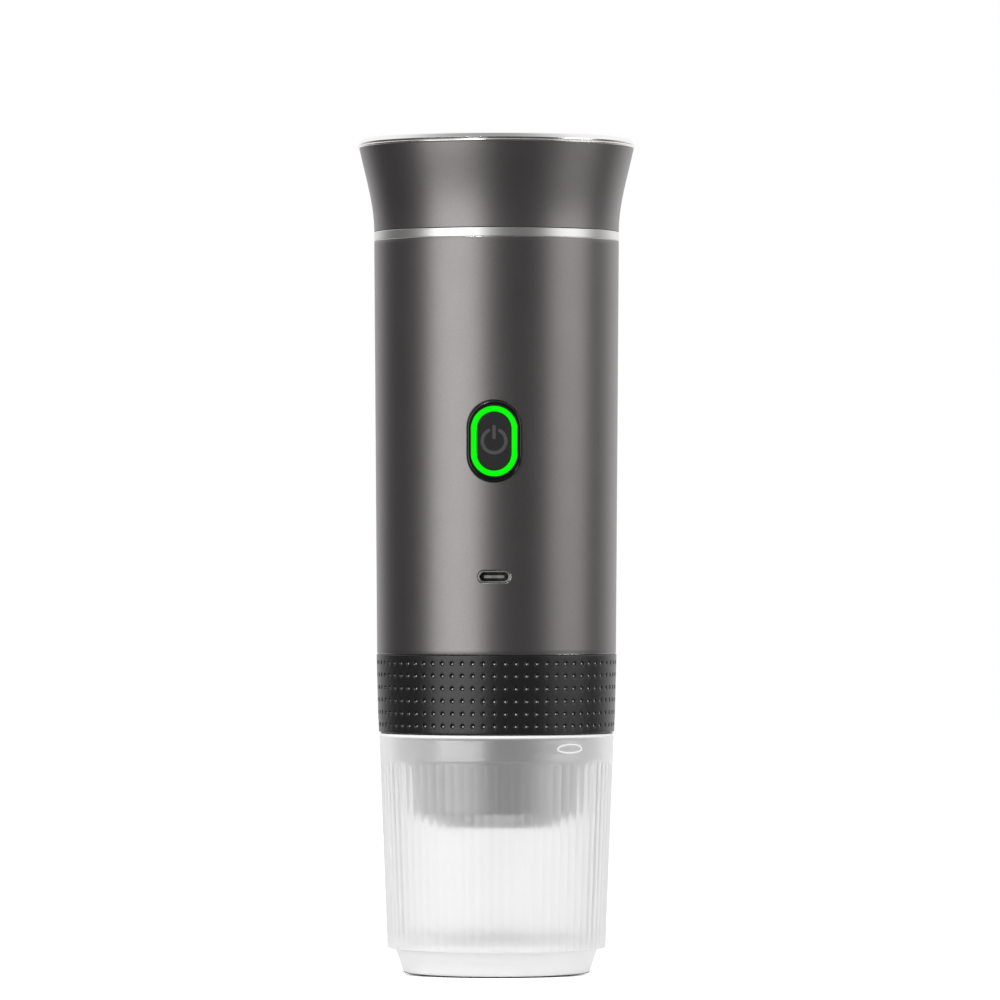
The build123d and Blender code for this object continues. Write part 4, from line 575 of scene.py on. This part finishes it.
# Sprayed metallic lacquer on aluminium: aluminium flakes under a satin clear coat give a soft, wide
# highlight with a faint sparkle. Real flakes are 0.03 mm; here 0.25 mm so that they can show.
gunmetal, tree, shader, place = finish("gunmetal_flake_lacquer_sprayed", Metallic=1.0)
flake = add(tree, "TexVoronoi", {"Vector": place, "Scale": per_mm(0.25)}, feature="F1").outputs["Distance"]
cloud = add(tree, "TexNoise", {"Vector": place, "Scale": per_mm(9.0), "Detail": 3.0})
shade = add(tree, "ValToRGB", {"Fac": flake}, stops=((0.0, "#999595"), (0.9, "#8e8a8a")))
gloss = add(tree, "MapRange", {"Value": cloud.outputs["Fac"], "To Min": 0.36, "To Max": 0.41})
relief = add(tree, "Bump", {"Height": flake, "Strength": 0.03, "Distance": 0.02 * MM})
feed(tree, shader, {"Base Color": shade.outputs["Color"], "Roughness": gloss.outputs[0],
                    "Normal": relief.outputs[0]})

# Bare aluminium where the edge was cut after spraying: a thin bright line. Its tool marks are drawn at
# 0.4 mm, coarser than real ones.
cut_edge = mottled("bare_aluminium_diamond_cut", "#dcdad9", "#efedec", 0.4, 2.0, gloss=(0.2, 0.3),
                   Metallic=1.0)

# Stainless steel turned on a lathe, polished on the rim and left satin on the ring: bright, with fine
# lines round it that soften the reflections. The lines are 0.12 mm apart here, coarser than real
# ones, to show.
trims = {}
for name, low, high in (("stainless_steel_turned_polished", 0.2, 0.26),
                        ("stainless_steel_turned_satin", 0.34, 0.4)):
    trims[name], tree, shader, place = finish(name, Metallic=1.0)
    height = add(tree, "SeparateXYZ", {"Vector": place}).outputs["Z"]
    lines = add(tree, "TexNoise", {"W": height, "Scale": per_mm(0.12), "Detail": 2.0}, noise_dimensions="1D")
    shade = add(tree, "ValToRGB", {"Fac": lines.outputs["Fac"]}, stops=((0.3, "#f2f1f0"), (0.7, "#fbfaf9")))
    gloss = add(tree, "MapRange", {"Value": lines.outputs["Fac"], "To Min": low, "To Max": high})
    feed(tree, shader, {"Base Color": shade.outputs["Color"], "Roughness": gloss.outputs[0]})
polished, satin = trims.values()

# Moulded silicone rubber: nearly black, with the dull grain of a spark-eroded mould, drawn at 0.5 mm,
# twice as coarse as in life. The bowls are smooth, so they look blacker. Each holds a painted highlight:
# a pale grey dot in the colour that stands for a point of light. A point is in a bowl where it lies under the
# band's taper.
rubber, tree, shader, place = finish("silicone_rubber_moulded_black", IOR=1.62)
grain = add(tree, "TexNoise", {"Vector": place, "Scale": per_mm(0.5), "Detail": 4.0}).outputs["Fac"]
dust = add(tree, "TexNoise", {"Vector": place, "Scale": per_mm(6.0), "Detail": 3.0}).outputs["Fac"]
black = add(tree, "ValToRGB", {"Fac": dust}, stops=((0.3, "#111111"), (0.7, "#161616")))
painted_highlight = add(tree, "Attribute", attribute_name="painted_highlight").outputs["Fac"]
# The painted highlight: pale grey mixed into the black colour where the attribute is 1.
shade = add(tree, "Mix", {0: painted_highlight, 6: black.outputs["Color"], 7: linear("#dcdcdc")}, data_type="RGBA")
grainy = add(tree, "MapRange", {"Value": grain, "To Min": 0.3, "To Max": 0.38})
way = add(tree, "SeparateXYZ", {"Vector": place})
flat_way = add(tree, "CombineXYZ", {0: way.outputs[0], 1: way.outputs[1]})
reach = add(tree, "VectorMath", {0: flat_way.outputs[0]}, operation="LENGTH")
band = add(tree, "MapRange", {"Value": way.outputs[2],
                              "From Min": GRIP_BOTTOM * MM, "From Max": GRIP_TOP * MM,
                              "To Min": GRIP_BOTTOM_RADIUS * MM, "To Max": GRIP_TOP_RADIUS * MM})
depth = add(tree, "Math", {0: band.outputs[0], 1: reach.outputs["Value"]}, operation="SUBTRACT")
gloss = add(tree, "MapRange", {"Value": depth.outputs[0], "From Min": 0.05 * MM, "From Max": 0.2 * MM,
                               "To Min": grainy.outputs[0], "To Max": 0.16})
relief = add(tree, "Bump", {"Height": grain, "Strength": 0.4, "Distance": 0.08 * MM})
feed(tree, shader, {"Base Color": shade.outputs[2], "Roughness": gloss.outputs[0],
                    "Normal": relief.outputs[0]})

# Clear copolyester, injection moulded: see-through, with a polished inside and a soft outside, and a
# milky haze that grows towards the edges of the wall, where the eye looks along it, and down the
# foot. A low index keeps the reeds soft. The waves of the melt are drawn 14 mm long.
clear, tree, shader, place = finish("clear_copolyester_moulded", IOR=1.34)
milk = add(tree, "Attribute", attribute_name="milk").outputs["Fac"]
inside = add(tree, "Math", {0: milk, 1: MILK_WALL / 2}, operation="LESS_THAN").outputs[0]
slant = add(tree, "LayerWeight", {"Blend": 0.5}).outputs["Facing"]
passed = add(tree, "MapRange", {"Value": slant, "To Min": 0.84, "To Max": 0.3})
passed = add(tree, "MapRange", {"Value": milk, "From Min": MILK_WALL,
                                "To Min": passed.outputs[0], "To Max": 0.1})
passed = add(tree, "Math", {0: passed.outputs[0], 1: inside}, operation="MAXIMUM")
gloss = add(tree, "MapRange", {"Value": milk, "From Min": MILK_WALL, "From Max": 0.6,
                               "To Min": 0.28, "To Max": 0.5})
gloss = add(tree, "Math", {0: inside, 1: -0.16, 2: gloss.outputs[0]}, operation="MULTIPLY_ADD")
flow = add(tree, "TexNoise", {"Vector": place, "Scale": per_mm(14.0), "Detail": 2.0}).outputs["Fac"]
shade = add(tree, "ValToRGB", {"Fac": flow}, stops=((0.3, "#fdfdfd"), (0.7, "#ffffff")))
relief = add(tree, "Bump", {"Height": flow, "Strength": 0.08, "Distance": 0.2 * MM})
feed(tree, shader, {"Base Color": shade.outputs["Color"], "Roughness": gloss.outputs[0],
                    "Transmission Weight": passed.outputs[0], "Normal": relief.outputs[0]})

# Gloss black ABS: deep black under a smooth moulded skin with faint ripples.
gloss_black = mottled("abs_moulded_gloss_black", "#101010", "#161616", 2.5, 2.0, gloss=(0.16, 0.24), IOR=1.53)

# Satin black ABS on the cap: the same plastic from a matted mould, with a 0.3 mm grain.
satin_black = mottled("abs_moulded_satin_black", "#121212", "#171717", 0.3, 3.0, gloss=(0.42, 0.52),
                      relief=(0.15, 0.04), IOR=1.53)

# Pad-printed ink: flat dark grey, a little uneven where the pad lifted off.
ink = mottled("pad_printed_ink_grey", "#3b3b3b", "#444444", 0.5, 2.0, Roughness=0.5)

# Light guide of milky acrylic, lit green from behind: an even, pure green glow.
glow = mottled("acrylic_light_guide_lit_green", "#001400", "#001a00", 3.0, 1.0, Roughness=0.5,
               Specular_IOR_Level=0.1, Emission_Color=linear("#00ff00"), Emission_Strength=1.0)

# Nickel plate on the drawn sleeve of the inlet: a bright, slightly warm metal edge.
nickel = mottled("steel_drawn_nickel_plated", "#d2d0cc", "#e4e2de", 0.3, 2.0, gloss=(0.24, 0.34),
                 Metallic=1.0)

# The other pieces take one of the finishes below, by their slot in the record; the cup's seal has one
# of its own. Each has a name, the colours of the pattern's low and high parts, metallic, roughness,
# the size of the pattern and the depth of its relief in millimetres. A bead of solder, a casting skin
# and a moulded grain are all finer in life; they are drawn to show.
PLAIN_FINISHES = {
    "black_moulding": ("glass_filled_nylon_moulded_black", "#1a1a1b", "#242425", 0.0, 0.55, 0.4, 0.03),
    "grey_moulding": ("polypropylene_moulded_grey", "#5d5e60", "#68696b", 0.0, 0.42, 0.5, 0.02),
    "grey_anodised": ("aluminium_bead_blasted_anodised_grey", "#959494", "#9a9999", 1.0, 0.3, 1.2, 0.001),
    "cup_seal": ("silicone_rubber_moulded_grey", "#8b8c8d", "#949596", 0.0, 0.5, 0.8, 0.01),
    "soft_seal": ("silicone_rubber_moulded_white", "#d5d4d0", "#dfdedb", 0.0, 0.5, 0.8, 0.02),
    "stainless": ("stainless_steel_drawn_brushed", "#a9a8a6", "#c2c1bf", 1.0, 0.28, 0.3, 0.01),
    "fastener_steel": ("steel_zinc_plated", "#9d9fa3", "#b8babd", 1.0, 0.3, 0.25, 0.02),
    "heater_alloy": ("aluminium_die_cast", "#8e8f91", "#a3a4a6", 1.0, 0.45, 0.7, 0.05),
    "cell_sleeve": ("pvc_shrink_sleeve_blue", "#274a76", "#2f5688", 0.0, 0.35, 3.0, 0.03),
    "circuit_board": ("glass_epoxy_board_green_solder_mask", "#0e4023", "#17552f", 0.0, 0.4, 0.9, 0.02),
    "gear_brass": ("brass_hobbed", "#b08a45", "#c9a35a", 1.0, 0.25, 0.2, 0.01),
    "wire_sleeve": ("silicone_wire_sleeve_red", "#7c1a16", "#92221d", 0.0, 0.45, 0.8, 0.02),
}
plain = {}
for slot, (name, low, high, metallic, roughness, size, depth) in PLAIN_FINISHES.items():
    plain[slot] = mottled(name, low, high, size, 3.0, gloss=(roughness - 0.05, roughness + 0.05),
                          relief=(0.3, depth), Metallic=metallic)
plain.update(gunmetal_shell=gunmetal, polished_trim=polished, gloss_black=gloss_black, light_guide=glow,
             print_grey=ink, black_rubber=rubber, clear_cup=clear)

# Contact tongue: pale grey liquid-crystal polymer with plated contact strips across it. They are drawn
# 3.14 mm apart, coarser than the real 0.5 mm; a wave texture of scale 1 has a strip every pi / 10 m.
contacts, tree, shader, place = finish("liquid_crystal_polymer_moulded_grey", Roughness=0.4)
strips = add(tree, "TexWave", {"Vector": place, "Scale": per_mm(3.14) * math.pi / 10, "Distortion": 0.0},
             bands_direction="X", wave_profile="SIN")
shade = add(tree, "ValToRGB", {"Fac": strips.outputs["Fac"]}, stops=((0.45, "#626564"), (0.7, "#74746f")))
feed(tree, shader, {"Base Color": shade.outputs["Color"]})

# Each carried-over piece takes the finish of its slot.
slot_of = {part["node"]: part["material_slot"] for part in frame["record"]["subparts"]}
for node, thing in frame["nodes"].items():
    thing.data.materials.clear()
    thing.data.materials.append(plain[slot_of[node]])
frame["nodes"]["inlet_tongue"].data.materials[0] = contacts
frame["nodes"]["cup_seal"].data.materials[0] = plain["cup_seal"]


# Pieces

def stands_for(piece, node, *finishes):
    """The piece takes its finishes and the body of a CAD node, which is hidden, so the piece stands in its
    place.
    """
    for made in finishes:
        piece.data.materials.append(made)
    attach(piece, frame["nodes"][node]["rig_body"])
    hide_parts(node)
    return piece


stands_for(turned("lid_shell_flared", lid_outline(), columns=256), "lid_shell", gunmetal)
rim = rounded([(RIM_BORE, LID_TOP, 0), (BEAD_RADIUS, LID_TOP, BEAD_ROUND),
               (BEAD_RADIUS, BEAD_TOP, BEAD_ROUND), (RIM_NECK_RADIUS, BEAD_TOP, 0),
               (LIP_BOTTOM_RADIUS, LIP_BOTTOM, LIP_BOTTOM_ROUND), (LIP_TOP_RADIUS, RIM_TOP, LIP_OUTER_ROUND),
               (RIM_MOUTH_RADIUS, RIM_TOP, LIP_INNER_ROUND), (RIM_MOUTH_RADIUS, RIM_LEDGE, 0),
               (RIM_BORE, RIM_LEDGE, 0)], steps=8, hold=0.05)
stands_for(turned("lid_rim_bullnose", rim, columns=256), "lid_rim_trim", polished)
# The plate's top rises as the square of the distance from the axis.
share = np.linspace(0, 1, 25)[:, None]
dish = np.hstack([DISH_RADIUS * share, DISH_MIDDLE + DISH_RISE * share ** 2])
plate = np.vstack([dish, [PLATE_RADIUS, DISH_MIDDLE + DISH_RISE - PLATE_EASE],
                   [PLATE_RADIUS, RIM_LEDGE + PLATE_EASE], [PLATE_RADIUS - PLATE_EASE, RIM_LEDGE],
                   [0.0, RIM_LEDGE]])
stands_for(turned("lid_top_plate_dished", plate), "lid_top_plate", gunmetal)
ring = rounded([(RING_BORE, BODY_TOP, 0), (BODY_TOP_RADIUS, BODY_TOP, RING_ROUND),
                (BODY_TOP_RADIUS, RING_TOP, RING_ROUND), (RING_BORE, RING_TOP, 0)])
stands_for(turned("neck_ring_polished", ring, columns=256), "neck_ring", satin)

body = stands_for(surface("body_shell_tapered", body_sheet()), "body_shell", gunmetal, cut_edge)
wall = body.modifiers.new("wall", "SOLIDIFY")
wall.thickness, wall.offset = BODY_WALL * MM, -1.0
edges = body.modifiers.new("edges", "BEVEL")
edges.width, edges.segments, edges.material = BODY_CUT_EDGE * MM, 2, 1
edges.limit_method, edges.angle_limit = "ANGLE", math.radians(50)

grip = surface("grip_sleeve_dimpled", [grip_grid()], loop_rows=True, loop_columns=True)
stands_for(grip, "grip_sleeve", rubber)
# Stores where the painted highlight lies in each dimple.
mark(grip, "painted_highlight", grip_painted_highlights)
cup = surface("cup_reeded", [cup_grid()], loop_columns=True)
stands_for(cup, "cup", clear)
mark(cup, "milk", cup_milk)

# The bezel's straight sides grow longer outwards, up to those of its hole.
bezel = rounded([(BEZEL_RADIUS, BEZEL_BACK, 0), (BEZEL_RADIUS, BEZEL_FRONT, BEZEL_ROUND),
                 (BEZEL_BORE, BEZEL_FRONT, BEZEL_INNER_ROUND), (BEZEL_BORE, BEZEL_BACK, 0)])
straight = BUTTON_STRAIGHT + BEZEL_STRETCH * (bezel[:, 0] - BEZEL_BORE) / (BEZEL_RADIUS - BEZEL_BORE)
stands_for(stadium("button_bezel_raised", bezel, straight, BUTTON_HEIGHT), "button_bezel", gloss_black)
light = rounded([(LIGHT_RADIUS, LIGHT_BACK, 0), (LIGHT_RADIUS, LIGHT_FRONT, LIGHT_ROUND),
                 (LIGHT_BORE, LIGHT_FRONT, LIGHT_ROUND), (LIGHT_BORE, LIGHT_BACK, 0)])
stands_for(stadium("button_light_ring", light, BUTTON_STRAIGHT, BUTTON_HEIGHT), "light_ring", glow)
# The cap closes on its middle line, so the two points on that line between back and front are left out.
cap = rounded([(0.0, CAP_BACK, 0), (CAP_RADIUS, CAP_BACK, 0), (CAP_RADIUS, CAP_FRONT, CAP_ROUND),
               (0.0, CAP_FRONT, 0)])[1:-1]
cap = stadium("button_cap_flat", cap, BUTTON_STRAIGHT, BUTTON_HEIGHT, looped=False)
stands_for(cap, "button_cap", satin_black)

# The power sign: a ring with a gap at its top, and a bar in the gap.
turn = np.linspace(np.pi / 2 + SIGN_GAP, 5 * np.pi / 2 - SIGN_GAP, 60)
ring_line = SIGN_RADIUS * np.stack([np.cos(turn), np.sin(turn)], -1) + [0, BUTTON_HEIGHT]
ring_ends = np.stack([-np.sin(turn), np.cos(turn)], -1)[[0, -1]]
bar_line = np.stack([np.zeros(8), BUTTON_HEIGHT + np.linspace(SIGN_BAR_LOW, SIGN_BAR_HIGH, 8)], -1)
bar_ends = np.array([[0.0, 1.0], [0.0, 1.0]])
sign = [stroke(line, ends, SIGN_WIDTH, SIGN_FRONT, SIGN_BACK, SIGN_EDGE)
        for line, ends in ((ring_line, ring_ends), (bar_line, bar_ends))]
stands_for(surface("power_sign_printed", sign, loop_columns=True), "power_symbol", ink)

sleeve = rounded([(SLEEVE_RADIUS, SLEEVE_BACK, 0), (SLEEVE_RADIUS, SLEEVE_FRONT, SLEEVE_ROUND),
                  (SLEEVE_BORE, SLEEVE_FRONT, SLEEVE_ROUND), (SLEEVE_BORE, SLEEVE_BACK, 0)])
sleeve = stadium("inlet_sleeve_drawn", sleeve, INLET_STRAIGHT, INLET_HEIGHT, upright=False)
stands_for(sleeve, "inlet_sleeve", nickel)
outlet = turned("outlet_housing_bevelled", outlet_outline())
stands_for(outlet, "outlet_housing", plain[slot_of["outlet_housing"]])

# The spring stands on the housing.
low, high = np.array(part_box("valve_spring")) / MM
middle = (low + high) / 2
spring = surface("valve_spring_wound", [spring_grid(middle[:2], low[2], high[2])], loop_columns=True)
spring.data.materials.append(plain["stainless"])
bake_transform(spring)
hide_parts("valve_spring")


# Studio: a pale floor, four soft lamps and a white surround, in metres

# The camera stands in front, a little to the right, at half the height of the object.
CAMERA_TURN, CAMERA_AWAY, CAMERA_ASIDE = math.radians(1.1), 2.05, 0.001
CAMERA_HEIGHT, CAMERA_AIM, CAMERA_LENS = 0.1225, 0.136, 255.8
camera = bpy.data.objects.new("camera", bpy.data.cameras.new("camera"))
bpy.context.scene.collection.objects.link(camera)
camera.location = (CAMERA_AWAY * math.sin(CAMERA_TURN) + CAMERA_ASIDE * math.cos(CAMERA_TURN),
                   CAMERA_ASIDE * math.sin(CAMERA_TURN) - CAMERA_AWAY * math.cos(CAMERA_TURN), CAMERA_HEIGHT)
camera.rotation_euler = (math.pi / 2 + math.atan((CAMERA_AIM - CAMERA_HEIGHT) / CAMERA_AWAY), 0, CAMERA_TURN)
camera.data.lens, camera.data.sensor_width = CAMERA_LENS, 36.0
bpy.context.scene.camera = camera


def soft_box(name, azimuth, distance, width, low, high, watts, tilt=0.0):
    """A rectangular lamp between two heights at an azimuth from the front, turned to the axis of the
    object and tilted down."""
    lamp = bpy.data.lights.new(name, "AREA")
    lamp.shape, lamp.size, lamp.size_y, lamp.energy = "RECTANGLE", width, high - low, watts
    thing = bpy.data.objects.new(name, lamp)
    around = math.radians(azimuth)
    thing.location = (distance * math.sin(around), -distance * math.cos(around), (low + high) / 2)
    thing.rotation_euler = (math.pi / 2 - math.radians(tilt), 0, around)
    bpy.context.scene.collection.objects.link(thing)


# The left box gives the wide highlight on the body and the right one the band at its right. The low
# one shows in the flare of the lid, which faces down, and the small one overhead on the lid's rim.
soft_box("soft_box_left", azimuth=-37.5, distance=1.2, width=1.12, low=-0.25, high=0.8, watts=6.5)
soft_box("soft_box_right", azimuth=73, distance=1.2, width=0.92, low=0.0, high=0.8, watts=2.8)
soft_box("soft_box_low_right", azimuth=80, distance=1.2, width=0.6, low=-0.72, high=-0.42, watts=2.2)
soft_box("lamp_over_left", azimuth=-22, distance=0.85, width=0.14, low=0.93, high=1.07, watts=2.2, tilt=45.0)

# The floor is white paper that glows a little to the eye, so that it meets the surround without an
# edge. Where the object stands, within a few millimetres, a contact shadow is painted: from ambient
# occlusion the paper's colour and its glow to the eye fall to nearly black, in a thin line all round
# the foot and a broader one in front of it. Light that bounces finds the paper white.
FLOOR_HALF, CONTACT_REACH = 3.0, 0.012
floor_corners = np.array([[[-1, -1, 0], [1, -1, 0]], [[-1, 1, 0], [1, 1, 0]]])
floor = surface("floor", [floor_corners * FLOOR_HALF / MM])
paper, tree, shader, place = finish("floor_paper_white", Roughness=0.9, Specular_IOR_Level=0.0,
                                    Emission_Color=(1, 1, 1, 1))
fibre = add(tree, "TexNoise", {"Vector": place, "Scale": per_mm(8.0)})
sheet = add(tree, "ValToRGB", {"Fac": fibre.outputs["Fac"]}, stops=((0.3, "#f2f2f2"), (0.7, "#f5f5f5")))
seen = add(tree, "LightPath").outputs["Is Camera Ray"]
open_air = add(tree, "AmbientOcclusion", {"Distance": CONTACT_REACH}).outputs["AO"]
# The painted shadow reaches further in front of the foot: the occlusion levels between which it fades rise
# towards the front.
depth = add(tree, "SeparateXYZ", {"Vector": place}).outputs["Y"]
dark_below = add(tree, "MapRange", {"Value": depth, "From Min": -0.022, "From Max": -0.008,
                                    "To Min": 0.5, "To Max": 0.16}).outputs[0]
pale_above = add(tree, "Math", {0: dark_below, 1: 0.2}, operation="ADD").outputs[0]
clear_of_painted_shadow = add(tree, "MapRange", {"Value": open_air, "From Min": dark_below,
                                  "From Max": pale_above}).outputs[0]
bounced = add(tree, "Math", {0: 1.0, 1: seen}, operation="SUBTRACT").outputs[0]
pale = add(tree, "Math", {0: clear_of_painted_shadow, 1: bounced}, operation="MAXIMUM").outputs[0]
# The painted shadow: the paper's colour falls to near black, #101010, where it is not clear of the object.
shade = add(tree, "Mix", {0: pale, 6: linear("#101010"), 7: sheet.outputs["Color"]}, data_type="RGBA")
# The glow to the eye also fades out within the painted shadow.
lift = add(tree, "Math", {0: seen, 1: clear_of_painted_shadow}, operation="MULTIPLY").outputs[0]
lift = add(tree, "Math", {0: lift, 1: 0.7}, operation="MULTIPLY").outputs[0]
feed(tree, shader, {"Base Color": shade.outputs[2], "Emission Strength": lift})
floor.data.materials.append(paper)
floor.visible_glossy = False
floor.visible_transmission = False
floor.visible_shadow = False

# The surround is white to the eye, and even for soft light. In reflections it is dark in front and
# white behind and overhead, a little more so on the right, as a dark studio with a white backdrop;
# through the cup it is white with a dark place straight in front.
world = bpy.data.worlds.new("studio")
bpy.context.scene.world = world
world.use_nodes = True
world.cycles.sampling_method = "NONE"
tree = world.node_tree
tree.nodes.clear()
path = add(tree, "LightPath").outputs
way = add(tree, "SeparateXYZ", {"Vector": add(tree, "TexCoord").outputs["Generated"]}).outputs
behind = add(tree, "Math", {0: way["X"], 1: 0.085, 2: way["Y"]}, operation="MULTIPLY_ADD").outputs[0]
over = add(tree, "Math", {0: way["Z"], 1: 0.0}, operation="MAXIMUM").outputs[0]
over = add(tree, "Math", {0: over, 1: behind}, operation="ADD").outputs[0]
mirror = add(tree, "ValToRGB", {"Fac": over}, stops=((0.5, 0.085), (0.9, 1.0))).outputs["Color"]
through = add(tree, "MapRange", {"Value": way["Y"], "From Min": -0.85, "From Max": -0.25, "To Min": 0.15})
white = (1, 1, 1, 1)
mixed = add(tree, "Background", {"Color": white, "Strength": 0.72}).outputs[0]
for ray, colour, strength in (("Is Glossy Ray", mirror, 1.0),
                              ("Is Transmission Ray", white, through.outputs[0]),
                              ("Is Camera Ray", white, 1.0)):
    sky = add(tree, "Background", {"Color": colour, "Strength": strength}).outputs[0]
    mixed = add(tree, "MixShader", {0: path[ray], 1: mixed, 2: sky}).outputs[0]
add(tree, "OutputWorld", {"Surface": mixed})

bpy.context.scene.view_settings.view_transform = "Standard"
